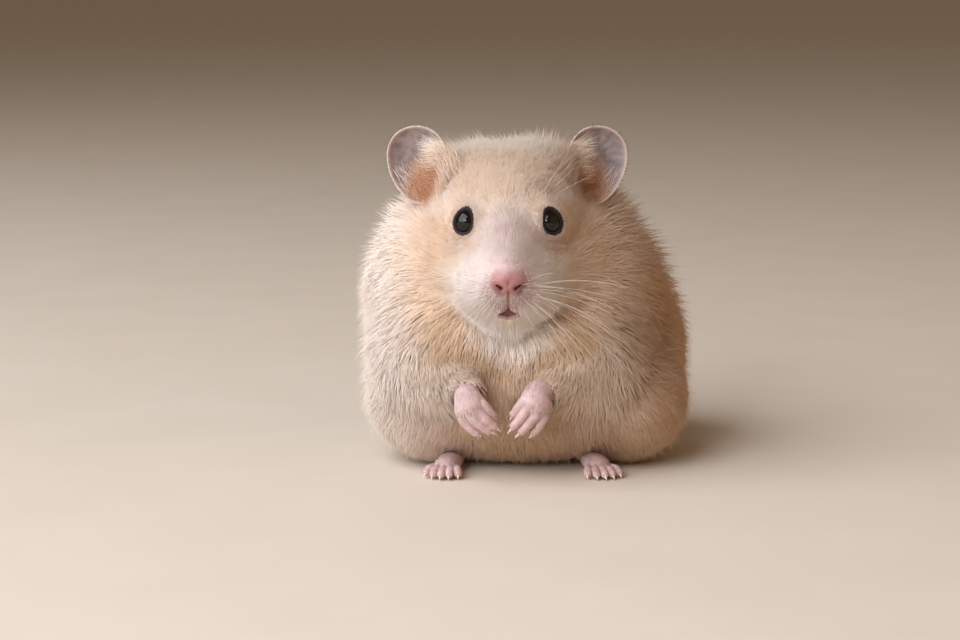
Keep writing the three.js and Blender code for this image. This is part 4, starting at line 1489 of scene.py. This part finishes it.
lie = turned(lie, normal, rng.normal(0, 0.18, len(root)))
coat.append(hair_piece("paw_hairs", root, normal, lie, length, 0.16, chart, PAW_WIDTH, 84))

# %% [markdown]
# The hairs of an ear are placed by the share and turn of its leaf, as the leaf itself is.

# %% Hairs of the ears
def on_ear(side, share, turn, way, length, lift):
    """Hairs on the front of an ear from their place on the leaf and their way across it."""
    step = 0.02
    flip = np.array([SIDES[side], 1, 1])
    place = ear_leaf(share, turn)
    lie = unit(ear_place(place + step * way, "left") - ear_place(place, "left"))
    forwards = unit(ear_place(np.array([0, -1.0, 0]), "left") - ear_place(np.zeros(3), "left"))
    root = ear_place(place - [0, 0.25, 0], "left")
    chart = ear_map(side)(share * len(front_shares), turn / (2 * np.pi))
    normal = np.tile(forwards * flip, (len(share), 1))
    return root * flip, normal, lie * flip, length, np.full(len(share), lift), chart


pale_ear, dark_ear = [], []
for side in SIDES:
    rng = np.random.default_rng(91 if side == "left" else 92)
    count = 420  # fringe over the inner edge
    share, turn = 0.80 + 0.25 * rng.random(count), np.pi + 1.05 * (rng.random(count) - 0.42)
    sideways = 0.75 + 0.5 * rng.random(count)
    way = unit(np.stack([sideways, np.full(count, -0.25), 0.9 - 1.0 * rng.random(count)], -1))
    pale_ear.append(on_ear(side, share, turn, way, 3.2 + 3.4 * rng.random(count), 0.30))
    count = 650  # down at the root of the hollow
    share, turn = 0.95 * np.sqrt(rng.random(count)), -1.75 + 0.95 * rng.standard_normal(count) * 0.6
    sideways = 0.35 + 0.4 * rng.standard_normal(count)
    way = unit(np.stack([sideways, np.full(count, -0.3), np.ones(count)], -1))
    down = on_ear(side, share, turn, way, 1.8 + 1.6 * rng.random(count), 0.25)
    pale_ear.append([v[np.sin(turn) < -0.25] for v in down])
    count = 420  # dark hairs inside the rim
    share, turn = 0.70 + 0.28 * rng.random(count), -1.0 + 3.6 * rng.random(count)
    way = unit(np.stack([np.cos(turn), np.full(count, -0.3), np.sin(turn)], -1))
    dark_ear.append(on_ear(side, share, turn, way, 0.7 + 0.8 * rng.random(count), 0.3))
    count = 40  # lashes, just outside the rim of the lids
    turn = 2 * np.pi * rng.random(count)
    wide, high = 1.12 * LID_HALF_WIDTH * np.cos(turn), 1.1 * LID_HALF_HEIGHT * np.sin(turn)
    local = np.stack([wide, high, np.full(count, 1.6)], -1)
    away = unit(local * [1, 1, 0.35]) @ eye_axes(side)
    root = EYE_CENTRES[side] + local @ eye_axes(side)
    look = np.tile(eye_axes(side)[2], (count, 1))
    chart = disc_map(np.full(count, 60.0), turn / (2 * np.pi))
    dark_ear.append((root, look, away, 0.7 + 0.6 * rng.random(count), np.full(count, 0.2), chart))

EDGE_TURNS = np.radians(np.linspace(130, 290, 16))  # the part of an ear's edge in the fur of the head
for side in SIDES:
    edge = ear_place(ear_leaf(0.93, EDGE_TURNS), side)

    def before_ear(p, edge=edge):
        """1 on the skin in front of the covered part of the ear's edge, as seen along y."""
        far = np.full(p.shape[:-1], 99.0)
        for place in edge:
            far = np.minimum(far, norms((p - place)[..., ::2]))
        return near(far, 3.2) * (p[..., 1] < -4) * (p[..., 1] > -16)

    root, row, turn = grown_roots(skin_rings, before_ear, 2600, 98)
    rng = np.random.default_rng(99)
    normal = outward(root, 0.7)
    middle = np.array([20.0, -10.0, 74.0]) * [SIDES[side], 1, 1]
    way = 0.7 * unit(middle - root) + np.array([0.15 * SIDES[side], -0.1, 0.7])
    lie = unit(flattened(way + 0.2 * rng.standard_normal(root.shape), normal, 0.6))
    length = (3.2 + 3.4 * ramp(root[:, 2], 61, 68)) * (0.7 + 0.6 * rng.random(len(root)))
    lift = 0.30 + 0.25 * rng.random(len(root))
    pale_ear.append((root, normal, lie, length, lift, disc_map(row, turn)))

coat.append(hair_piece("ear_down", *gathered(pale_ear), EAR_WIDTH, 96))
dark_hairs = hair_piece("dark_hairs", *gathered(dark_ear), DARK_WIDTH, 97)

# %% [markdown]
# ## Whiskers
# Whiskers are long, stiff hairs in rows on the pads beside the nose, with a few over the eyes. Each
# one springs out, sweeps to the side and droops under its own weight. The upper rows rise and the
# lower rows hang, so they fan out.

# %% Whiskers
WHISKER_ROWS, WHISKERS_IN_ROW = 4, 5
WHISKER_WIDTH = 0.038
WHISKER_SHARES = np.linspace(0, 1, 12)


def pad_whiskers(seed):
    """
    Roots in a block on the whisker pad and the three points of each whisker's bend. Length grows to
    the back of the pad; the heading goes from forwards and down in front to sideways at the back.
    """
    rng = np.random.default_rng(seed)
    row, place = np.divmod(np.arange(WHISKER_ROWS * WHISKERS_IN_ROW), WHISKERS_IN_ROW)
    back = place / (WHISKERS_IN_ROW - 1) + 0.08 * rng.standard_normal(len(row))
    low = row / (WHISKER_ROWS - 1)
    x = 3.0 + 4.6 * back
    z = 46.9 - 4.3 * low + 0.25 * rng.standard_normal(len(row))
    upwards = 0.42 - 1.05 * low + 0.12 * rng.standard_normal(len(row))
    way = unit(np.stack([0.55 + 0.8 * back, -0.75 + 0.45 * back, upwards], -1))
    length = (10 + 15 * back) * (0.85 + 0.3 * rng.random(len(row)))
    rearwards = 0.28 + 0.1 * rng.random(len(row))
    downwards = -0.30 - 0.15 * rng.random(len(row))
    droop = np.stack([np.full(len(row), 0.05), rearwards, downwards], -1)
    return x, z, way, length, droop


def on_skin_front(x, z):
    """Place on the skin straight behind a point of the front view: the distance is followed along y."""
    p = np.stack([x, np.full_like(x, -60.0), z], -1)
    for _ in range(60):
        p[:, 1] += np.clip(0.8 * to_skin(p), 0, 4)
    return p


whisker_parts = []
for side, sign in SIDES.items():
    x, z, way, length, droop = pad_whiskers(51 if sign > 0 else 52)
    brow_x = np.array([8.2, 10.4, 12.0])
    x, z = np.append(x, brow_x), np.append(z, [66.2, 66.8, 66.0])
    way = np.concatenate([way, unit(np.array([[0.25, -0.7, 0.7], [0.5, -0.6, 0.65], [0.75, -0.45, 0.5]]))])
    length = np.append(length, [8.5, 10.0, 9.0])
    droop = np.concatenate([droop, np.tile([0.1, 0.25, -0.05], (3, 1))])
    root = on_skin_front(x, z)
    s = WHISKER_SHARES[None, :, None]
    path = root[:, None] + length[:, None, None] * (way[:, None] * (s - 0.03) + droop[:, None] * s**2)
    whisker_parts.append((path * [sign, 1, 1], root * [sign, 1, 1]))
whisker_paths = np.concatenate([w[0] for w in whisker_parts])
whisker_roots = np.concatenate([w[1] for w in whisker_parts])
whisker_count = len(whisker_paths)
whisker_shade = np.tile(np.array([0, -0.5, 0.86]), (whisker_count, len(WHISKER_SHARES), 1))
whisker_width = WHISKER_WIDTH * (1 - WHISKER_SHARES) ** 0.6 * np.ones((whisker_count, 1))
whisker_chart = np.stack([np.linspace(0.05, 0.95, whisker_count), np.full(whisker_count, 0.5)], -1)
whiskers = put_strands(
    "whiskers", whisker_paths, whisker_width, whisker_shade, whisker_chart,
    np.random.default_rng(53).random(whisker_count), whisker_roots, sides=5, flat=1.0)
print("whiskers:", whisker_count, triangles(whiskers), "triangles")

# %% [markdown]
# ## Building materials in code
# A material is a net of nodes. Two helpers keep it readable: one adds a node with its inputs given
# by name, as numbers or as other nodes' outputs, and one makes a node group with named sockets.

# %% Node helpers
SOCKET_KINDS = {"vector": "NodeSocketVector", "colour": "NodeSocketColor", "number": "NodeSocketFloat"}


def rgb(red, green, blue):
    """A colour from 0 to 255 as the renderer's linear numbers."""
    c = np.array([red, green, blue]) / 255
    linear = np.where(c <= 0.04045, c / 12.92, ((c + 0.055) / 1.055) ** 2.4)
    return (*linear.tolist(), 1.0)


def feed(socket, value):
    """Gives an input a number or a colour, or links it to another node's output."""
    if isinstance(value, bpy.types.NodeSocket):
        socket.id_data.links.new(value, socket)
    else:
        socket.default_value = value


def add(tree, kind, inputs=None, **settings):
    """A node of a kind, with its settings and inputs."""
    made = tree.nodes.new(kind)
    for name, value in settings.items():
        setattr(made, name, value)
    for name, value in (inputs or {}).items():
        feed(made.inputs[name], value)
    return made


def calc(tree, operation, a, b):
    """Output of a Math node."""
    return add(tree, "ShaderNodeMath", {0: a, 1: b}, operation=operation).outputs[0]


def mixed(tree, share, a, b, blend="MIX"):
    """Output of a colour mix: a where share is 0 and b where it is 1."""
    return add(tree, "ShaderNodeMix", {0: share, 6: a, 7: b}, data_type="RGBA", blend_type=blend).outputs[2]


def shared(tree, mask, share, a, b, blend="MIX"):
    """The same with a mask that is first made weaker."""
    return mixed(tree, calc(tree, "MULTIPLY", mask, share), a, b, blend)


def vector_calc(tree, operation, a, b):
    """Output of a Vector Math node."""
    return add(tree, "ShaderNodeVectorMath", {0: a, 1: b}, operation=operation).outputs[0]


def smooth_range(tree, value, low, high, to_low=0.0, to_high=1.0):
    """Output of a Map Range node with soft ends."""
    return add(tree, "ShaderNodeMapRange", {
        "Value": value, "From Min": low, "From Max": high, "To Min": to_low, "To Max": to_high,
    }, interpolation_type="SMOOTHSTEP").outputs["Result"]

# %% [markdown]
# A cloud is a soft ellipsoid, with which a tone gets its place on the animal.


# %% Groups, clouds and noise
def new_group(name, inputs, outputs):
    """A node group with named sockets. Returns the group, its input node and its output node."""
    group = bpy.data.node_groups.new(name, "ShaderNodeTree")
    for label, (kind, default) in inputs.items():
        socket = group.interface.new_socket(label, in_out="INPUT", socket_type=SOCKET_KINDS[kind])
        if default is not None:
            socket.default_value = default
    for label, kind in outputs.items():
        group.interface.new_socket(label, in_out="OUTPUT", socket_type=SOCKET_KINDS[kind])
    return group, group.nodes.new("NodeGroupInput"), group.nodes.new("NodeGroupOutput")


def use_group(tree, group, inputs):
    """A group placed in a material."""
    return add(tree, "ShaderNodeGroup", inputs, node_tree=group)


def cloud(tree, place, centre, radii, soft):
    """1 inside an ellipsoid in mm and 0 outside, soft across its edge."""
    moved = vector_calc(tree, "ADD", place, tuple(-c * MM for c in centre))
    scaled = vector_calc(tree, "MULTIPLY", moved, tuple(1 / (r * MM) for r in radii))
    far = add(tree, "ShaderNodeVectorMath", {0: scaled}, operation="LENGTH").outputs["Value"]
    return smooth_range(tree, far, 1 - soft, 1 + soft, 1.0, 0.0)


def fine_noise(tree, place, scale, detail=2.0, roughness=0.5):
    """Factor of a noise whose grains are about 1 / scale across, in metres."""
    inputs = {"Vector": place, "Scale": scale, "Detail": detail, "Roughness": roughness}
    return add(tree, "ShaderNodeTexNoise", inputs).outputs["Fac"]


def object_place(tree):
    """The place on the object, in metres, which the clouds and noises of a material read."""
    return add(tree, "ShaderNodeTexCoord").outputs["Object"]


# %% [markdown]
# ## Markings
# The coat goes from cream on the flanks to apricot on the forehead and the cheeks, and to white on
# the muzzle and round the eyes. Skin and hair share this group, so they agree everywhere. Each mark
# is a soft cloud with a place, a size and a colour. Hair reads it at its root: the colour of a real
# hair belongs to the skin it grows from. A little noise breaks up the edges.

# %% Markings of the coat
COAT_CREAM = (243, 229, 218)
WOBBLE_SCALE, WOBBLE = 170.0, 0.006  # the noise that moves the edges of the marks, and how far in metres
MARKS = [  # colour, centre in mm, radii in mm, softness, strength, on both sides
    ((229, 199, 170), (6, 26, 48), (28, 22, 30), 0.6, 0.7, False),  # back
    ((236, 210, 186), (1, 2, 66), (26, 22, 18), 0.6, 0.7, False),  # nape
    ((233, 203, 175), (17, -10, 47), (13, 16, 12), 0.6, 0.8, True),  # shoulder and cheek
    # painted light: the right flank, which faces the key light, is painted paler
    ((250, 236, 224), (-33, -4, 32), (17, 24, 32), 0.6, 0.9, False),  # right flank
    # painted shade: the left flank, away from the key light, is painted darker and warmer
    ((210, 162, 118), (38, -4, 28), (18, 26, 30), 0.6, 0.85, False),  # left flank
    # painted shade: the belly under the chest and the forelegs is painted darker and warmer
    ((208, 168, 130), (10, -24, 10), (25, 16, 12), 0.6, 0.8, False),  # belly
    ((226, 184, 144), (11.0, -24, 36), (7.0, 12, 7.5), 0.8, 0.8, True),  # beside the throat
    # partly the golden patch of the chest, partly painted shade under the head
    ((214, 175, 136), (2, -24, 30), (19, 15, 12), 0.6, 0.8, False),  # middle of the chest
    ((244, 212, 182), (0, -16, 68), (15, 14, 10), 0.6, 0.9, False),  # forehead
    ((226, 188, 156), (12.5, -22, 53), (8.5, 9, 8.5), 0.6, 0.85, True),  # cheek
    ((188, 162, 144), (10.2, -26, 60), (4.6, 5, 5.2), 0.6, 0.8, True),  # round the eye
    ((222, 199, 191), (0, -30, 55), (5, 9, 6), 0.5, 0.9, False),  # bridge of the nose
    ((178, 116, 72), (18.5, -9, 66.5), (5.5, 7, 7), 0.5, 0.95, True),  # in front of the ear
    ((242, 226, 212), (14.5, -8, 74.0), (4.5, 6, 3.5), 0.5, 0.6, True),  # tuft beside the ear
    ((241, 231, 226), (0, -33, 43.0), (10.5, 12, 7.8), 0.4, 1.0, False),  # muzzle
    ((226, 200, 196), (0, -35, 47.5), (6.5, 8, 5.0), 0.5, 0.8, False),  # beside the nose
    ((250, 240, 232), (0, -28, 37), (9, 9, 5), 0.5, 0.9, False),  # chin
    # partly the pale tips of the fluff, partly painted light on the top of the head
    ((250, 236, 220), (0, -2, 77), (22, 14, 6), 0.6, 0.9, False),  # fluff behind the crown
    ((198, 172, 156), (8.5, -27, 55.0), (4.5, 6, 3.6), 0.6, 0.6, True),  # under the eye
    ((228, 206, 204), (7.4, -35, 18), (5.0, 5, 5.5), 0.5, 0.9, True),  # hand and wrist
]

markings, entry, result = new_group("coat markings", {"Place": ("vector", None)}, {"Colour": "colour"})
mark_place = entry.outputs["Place"]
wobble = add(markings, "ShaderNodeTexNoise", {"Vector": mark_place, "Scale": WOBBLE_SCALE, "Detail": 3.0})
shift = vector_calc(markings, "SUBTRACT", wobble.outputs["Color"], (0.5, 0.5, 0.5))
shift = vector_calc(markings, "MULTIPLY", shift, (WOBBLE,) * 3)
loose_place = vector_calc(markings, "ADD", mark_place, shift)
colour = rgb(*COAT_CREAM)
for tone, centre, radii, soft, strength, both in MARKS:
    for sign in (1, -1) if both else (1,):
        mask = cloud(markings, loose_place, (sign * centre[0], *centre[1:]), radii, soft)
        colour = shared(markings, mask, strength, colour, rgb(*tone))
markings.links.new(colour, result.inputs["Colour"])
print("markings:", len(markings.nodes), "nodes")

# %% [markdown]
# ## The tone of a strand
# A hair is painted deeper and warmer towards its foot: partly the warmer tone of the undercoat, and
# partly painted shade, as light hardly comes so deep into the coat. It is paler at the tip. No two
# hairs are alike, so each strand's own random number makes it a little lighter, darker or more golden.

# %% Tones along a strand
strand_tone, entry, result = new_group(
    "strand tone",
    {"Colour": ("colour", None), "Along": ("number", 0.5), "Chance": ("number", 0.5),
     "Foot": ("colour", rgb(238, 190, 146)), "Foot shade share": ("number", 0.32)},
    {"Colour": "colour", "Roughness": "number"})
# painted shade and undercoat: towards the foot the colour is multiplied by the foot tone
at_foot = smooth_range(strand_tone, entry.outputs["Along"], 0.0, 0.75, 1.0, 0.0)
foot_shade_share = calc(strand_tone, "MULTIPLY", at_foot, entry.outputs["Foot shade share"])
tone = mixed(strand_tone, foot_shade_share, entry.outputs["Colour"], entry.outputs["Foot"], "MULTIPLY")
golden = smooth_range(strand_tone, entry.outputs["Chance"], 0.50, 0.95)
tone = shared(strand_tone, golden, 0.40, tone, rgb(232, 196, 158), "MULTIPLY")
pale = smooth_range(strand_tone, entry.outputs["Chance"], 0.45, 0.05)
tone = shared(strand_tone, pale, 0.30, tone, rgb(248, 238, 224))
strand_tone.links.new(tone, result.inputs["Colour"])
rough = smooth_range(strand_tone, entry.outputs["Along"], 0.0, 1.0, 0.75, 0.52)
strand_tone.links.new(rough, result.inputs["Roughness"])


def read_number(tree, name, field="Fac"):
    """What a piece stores at its points under a name."""
    return add(tree, "ShaderNodeAttribute", attribute_name=name).outputs[field]


def new_material(name):
    """A material with a Principled shader, new or made empty before. Returns it, its tree and the shader."""
    material = bpy.data.materials.get(name) or bpy.data.materials.new(name)
    material.use_nodes = True
    tree = material.node_tree
    return material, tree, tree.nodes["Principled BSDF"]


def set_shader(shader, **values):
    """Feeds the shader's sockets; an underscore in a name stands for a space."""
    for name, value in values.items():
        feed(shader.inputs[name.replace("_", " ")], value)


# %% [markdown]
# Fur is matt: its gloss is low, and a little sheen gives it the pale bloom that it has against the
# light. The lashes and the hairs of the ear's rim are dark brown.

# %% Coat material
coat_finish, tree, shader = new_material("soft coat")
marks = use_group(tree, markings, {"Place": read_number(tree, "root", "Vector")})
strand = use_group(tree, strand_tone, {
    "Colour": marks.outputs["Colour"],
    "Along": read_number(tree, "along"),
    "Chance": read_number(tree, "chance"),
})
set_shader(
    shader, Base_Color=strand.outputs["Colour"], Roughness=strand.outputs["Roughness"],
    Specular_IOR_Level=0.03, Sheen_Weight=0.14, Sheen_Roughness=0.5, Sheen_Tint=rgb(255, 240, 224))
for piece in coat:
    piece.data.materials.append(coat_finish)

dark_finish, tree, shader = new_material("dark hair")
dark_tone = mixed(tree, read_number(tree, "along"), rgb(70, 54, 50), rgb(112, 88, 80))
set_shader(shader, Base_Color=dark_tone, Roughness=0.6)
dark_hairs.data.materials.append(dark_finish)
print("coat pieces with the soft finish:", len(coat))

# %% [markdown]
# ## Skin
# Under the coat the skin is pale and pinkish, with the same markings. The nose is bare, moist and
# pink, deeper in its wings and folds; round the lips the skin is grey-mauve and stippled, as if by
# the pores of the whiskers. Fine pebbles and creases come as bump, because they are far below a
# millimetre.

# %% Skin pores and creases
pores, entry, result = new_group(
    "skin grain",
    {"Place": ("vector", None), "Scale": ("number", 2600.0), "Creases": ("number", 0.4)},
    {"Height": "number", "Mottle": "number"})
place = entry.outputs["Place"]
cells = add(pores, "ShaderNodeTexVoronoi", {"Vector": place, "Scale": entry.outputs["Scale"]}, feature="F1")
lines = add(pores, "ShaderNodeTexNoise", {"Vector": place, "Scale": 900.0, "Detail": 4.0, "Distortion": 1.2})
ridge = calc(pores, "MULTIPLY", lines.outputs["Fac"], entry.outputs["Creases"])
pebbles = calc(pores, "MULTIPLY", cells.outputs["Distance"], -0.5)
feed(result.inputs["Height"], calc(pores, "ADD", pebbles, ridge))
feed(result.inputs["Mottle"], fine_noise(pores, place, 420.0, 4.0, 0.6))
print("skin grain:", len(pores.nodes), "nodes")


def grain_bump(tree, place, scale, creases, distance):
    """Skin grain in a material, joined to a Bump node. Returns the normal and the mottle."""
    grain = use_group(tree, pores, {"Place": place, "Scale": scale, "Creases": creases})
    inputs = {"Strength": 0.6, "Distance": distance, "Height": grain.outputs["Height"]}
    return add(tree, "ShaderNodeBump", inputs).outputs["Normal"], grain.outputs["Mottle"]


# %% [markdown]
# One material serves the furred skin and all that is bare in the face. The tones are laid over each
# other in the order of the face: skin, pads, bridge, lids, nose, lips, nostrils and mouth. Where
# they lie comes from the numbers that were stored with the skin, or from clouds.

# %% Furred skin with nose and lips
NOSE_PINK, NOSE_DEEP, NOSE_FADE = rgb(166, 110, 108), rgb(108, 50, 54), rgb(200, 166, 162)
# the nostrils' colour stands for the shade inside them; the mouth's is partly the lips' mauve inner skin,
# partly painted shade in the opening
LIP_MAUVE, MOUTH_MAUVE_AND_SHADE, NOSTRIL_SHADE = rgb(158, 126, 128), rgb(122, 78, 78), rgb(92, 42, 42)

_, tree, shader = new_material("furred skin")
place = object_place(tree)
normal, mottle = grain_bump(tree, place, 3400.0, 0.5, 0.00012)
under_hair = use_group(tree, markings, {"Place": place}).outputs["Colour"]
# painted shade: the skin under the long coat is multiplied deeper and warmer, as the shade in the coat's
# depth
under_hair = mixed(tree, read_number(tree, "long coat"), under_hair, rgb(248, 222, 196), "MULTIPLY")
lip_zone = cloud(tree, place, (0, -36, 45.6), (7.2, 7, 5.6), 0.35)
dots = add(tree, "ShaderNodeTexVoronoi", {"Vector": place, "Scale": 1500.0}, feature="F1").outputs["Distance"]
stipple = smooth_range(tree, dots, 0.30, 0.18)
skin_tone = shared(tree, lip_zone, 0.75, under_hair, LIP_MAUVE)
skin_tone = shared(tree, calc(tree, "MULTIPLY", lip_zone, stipple), 0.55, skin_tone, rgb(120, 92, 96))
bridge = cloud(tree, place, (0, -35, 52.5), (3.6, 5, 3.4), 0.5)
skin_tone = shared(tree, bridge, 0.8, skin_tone, NOSE_FADE)
nose_pink = mixed(tree, smooth_range(tree, mottle, 0.35, 0.65), NOSE_PINK, rgb(182, 126, 120))
wings = [cloud(tree, place, (3.4 * sign, -36, 45.5), (2.1, 5, 2.0), 0.6) for sign in (1, -1)]
nose_pink = mixed(tree, calc(tree, "MAXIMUM", *wings), nose_pink, NOSE_DEEP)
skin_tone = mixed(tree, read_number(tree, "lid"), skin_tone, rgb(40, 29, 27))
skin_tone = mixed(tree, read_number(tree, "nose"), skin_tone, nose_pink)
skin_tone = shared(tree, read_number(tree, "lips"), 0.85, skin_tone, rgb(160, 118, 118))
# painted shade inside the nostrils
skin_tone = mixed(tree, smooth_range(tree, read_number(tree, "nostril"), 0.3, 0.95), skin_tone, NOSTRIL_SHADE)
# the mauve inner skin of the lips, with painted shade of the opening
skin_tone = mixed(tree, smooth_range(tree, read_number(tree, "mouth"), 0.0, 1.0), skin_tone, MOUTH_MAUVE_AND_SHADE)
moist = calc(tree, "MAXIMUM", read_number(tree, "nose"), read_number(tree, "mouth"))
set_shader(
    shader, Base_Color=skin_tone, Normal=normal, Roughness=smooth_range(tree, moist, 0.0, 1.0, 0.7, 0.36),
    Subsurface_Weight=0.15, Subsurface_Radius=(0.8, 0.35, 0.25), Subsurface_Scale=0.0012,
    Specular_IOR_Level=0.4)
print("furred skin:", len(tree.nodes), "nodes")

# %% [markdown]
# The ear is thin skin, grey-mauve in its hollow, with a pale thin edge that light comes through and
# an orange root. The paws are pink, mottled in two tones.

# %% Ear skin
_, tree, shader = new_material("ear skin")
place = object_place(tree)
normal, mottle = grain_bump(tree, place, 2600.0, 0.8, 0.00010)
ear_tone = mixed(tree, smooth_range(tree, mottle, 0.3, 0.7), rgb(134, 120, 118), rgb(166, 150, 148))
for sign in (1, -1):
    root_zone = cloud(tree, place, (sign * 18.6, -7.0, 67.5), (5.2, 7, 6.0), 0.5)
    ear_tone = shared(tree, root_zone, 0.9, ear_tone, rgb(184, 130, 98))
# painted light: the thin rim is painted pale for the light that comes through it
ear_tone = mixed(tree, read_number(tree, "rim"), ear_tone, rgb(206, 186, 176))
set_shader(
    shader, Base_Color=ear_tone, Normal=normal, Roughness=0.55,
    Subsurface_Weight=0.35, Subsurface_Radius=(1.0, 0.45, 0.35), Subsurface_Scale=0.0012,
    Specular_IOR_Level=0.35, Sheen_Weight=0.4, Sheen_Roughness=0.4)

# %% [markdown]
# The paws are bare, so their creases show: the grain is deeper here than on the other skins.

# %% Paw skin
_, tree, shader = new_material("paw skin")
normal, mottle = grain_bump(tree, object_place(tree), 2300.0, 1.0, 0.00016)
paw_tone = mixed(tree, smooth_range(tree, mottle, 0.35, 0.68), rgb(197, 161, 159), rgb(213, 183, 181))
set_shader(
    shader, Base_Color=paw_tone, Normal=normal, Roughness=0.5,
    Subsurface_Weight=0.3, Subsurface_Radius=(1.0, 0.4, 0.3), Subsurface_Scale=0.0014,
    Specular_IOR_Level=0.4)

# %% [markdown]
# The small parts: the lids' rim is nearly black and dull, the eye black-brown and wet, the claws
# pale horn, and the whiskers pale and a little glossy.

# %% Lids, eyes, claws and whiskers
_, tree, shader = new_material("lid rim")
normal, mottle = grain_bump(tree, object_place(tree), 3600.0, 0.6, 0.00006)
lid_tone = mixed(tree, mottle, rgb(30, 20, 18), rgb(52, 36, 33))
set_shader(shader, Base_Color=lid_tone, Normal=normal, Roughness=0.7, Specular_IOR_Level=0.12)

eye_gloss, tree, shader = new_material("wet dark eye")
eye_tone = mixed(tree, fine_noise(tree, object_place(tree), 900.0, 3.0), rgb(10, 8, 7), rgb(22, 16, 14))
set_shader(shader, Base_Color=eye_tone, Roughness=0.05, Specular_IOR_Level=0.42)
for piece in eyes.values():
    piece.data.materials.append(eye_gloss)

claw_horn, tree, shader = new_material("claw horn")
claw_tone = mixed(tree, fine_noise(tree, object_place(tree), 1500.0), rgb(224, 196, 186), rgb(240, 224, 214))
set_shader(
    shader, Base_Color=claw_tone, Roughness=0.3,
    Subsurface_Weight=0.3, Subsurface_Radius=(0.6, 0.4, 0.3), Subsurface_Scale=0.0006)
claws.data.materials.append(claw_horn)

whisker_hair, tree, shader = new_material("whisker")
whisker_tone = mixed(tree, read_number(tree, "along"), rgb(228, 202, 172), rgb(248, 238, 224))
set_shader(shader, Base_Color=whisker_tone, Roughness=0.35, Specular_IOR_Level=0.5)
whiskers.data.materials.append(whisker_hair)
print("materials:", len(bpy.data.materials))

# %% [markdown]
# ## Floor and light
# A plain pale floor and four soft lamps: a large one from the upper left in front, a smaller one
# beside it that the eyes mirror as a window, a weak warm one from the right, and a small one near
# the camera, which gives the bright dot in each eye. The room itself gives a dim warm light.

# %% Studio
FLOOR_REACH = 12.0  # metres from the middle to each side
floor_corners = [(x * FLOOR_REACH, y * FLOOR_REACH, 0) for x, y in ((-1, -1), (1, -1), (1, 1), (-1, 1))]
floor_mesh = bpy.data.meshes.new("floor")
floor_mesh.from_pydata(floor_corners, [], [(0, 1, 2, 3)])
floor = bpy.data.objects.new("floor", floor_mesh)
bpy.context.collection.objects.link(floor)
floor_finish, tree, shader = new_material("pale floor")
floor_tone = mixed(tree, fine_noise(tree, object_place(tree), 30.0), rgb(224, 210, 192), rgb(232, 219, 202))
set_shader(shader, Base_Color=floor_tone, Roughness=0.8, Specular_IOR_Level=0.2)
floor.data.materials.append(floor_finish)
floor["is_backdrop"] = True
LAMP_TARGET = np.array([0.002, -0.01, 0.045])  # the middle of the animal, in metres
LAMPS = {  # place in metres, size in metres, watts, tint
    "key light": ((-0.70, -0.46, 0.67), 1.3, 17.2, (0.94, 0.98, 1.06)),
    "window light": ((-0.50, -0.75, 0.55), 0.35, 1.4, (0.86, 0.94, 1.08)),
    "warm fill": ((0.60, -0.40, 0.22), 1.0, 0.8, (1.0, 0.58, 0.30)),
    "catch light": ((-0.18, -0.58, 0.26), 0.07, 0.45, (1.0, 1.0, 1.0)),
}
ROOM_TINT, ROOM_STRENGTH = (1.0, 0.78, 0.57, 1.0), 0.185


def soft_lamp(name, place, size, watts, tint):
    """A square area lamp that looks at the middle of the animal."""
    data = bpy.data.lights.new(name, "AREA")
    data.size = size
    data.energy = watts
    data.color = tint
    lamp = bpy.data.objects.new(name, data)
    back = unit(np.array(place) - LAMP_TARGET)
    side_way = unit(np.cross([0, 0, 1.0], back))
    matrix = np.eye(4)
    matrix[:3, :3] = np.stack([side_way, np.cross(back, side_way), back], 1)
    matrix[:3, 3] = place
    lamp.matrix_world = matrix.T.tolist()
    bpy.context.collection.objects.link(lamp)


for name, lamp_values in LAMPS.items():
    soft_lamp(name, *lamp_values)
bpy.context.scene.view_settings.view_transform = "Standard"
world = bpy.data.worlds.new("soft room")
world.use_nodes = True
background = world.node_tree.nodes["Background"]
background.inputs["Color"].default_value = ROOM_TINT
background.inputs["Strength"].default_value = ROOM_STRENGTH
bpy.context.scene.world = world
print("lamps:", len(LAMPS))

# %% [markdown]
# ## Telling the frame about the pieces
# The model is still, so every piece rides on the one body. The skin stands for all the flesh and the
# eyeballs for the eyes, so the nodes of the frame that they replace are hidden.

# %% Bodies and nodes
FLESH = [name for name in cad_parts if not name.startswith("eye_")]
PIECES = (skin, *coat, dark_hairs, *eyes.values(), claws, whiskers)
for piece in PIECES:
    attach(piece, "root")
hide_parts(*FLESH)
for side in SIDES:
    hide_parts(f"eye_{side}")
print("pieces:", len(PIECES), "and nodes that the skin replaces:", len(FLESH))

# %% [markdown]
# The box of the finished animal is measured, as the frame's was at the start, and its triangles are counted.

# %% Sizes and the end
low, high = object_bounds()
print("all pieces:", sum(triangles(piece) for piece in PIECES), "triangles")
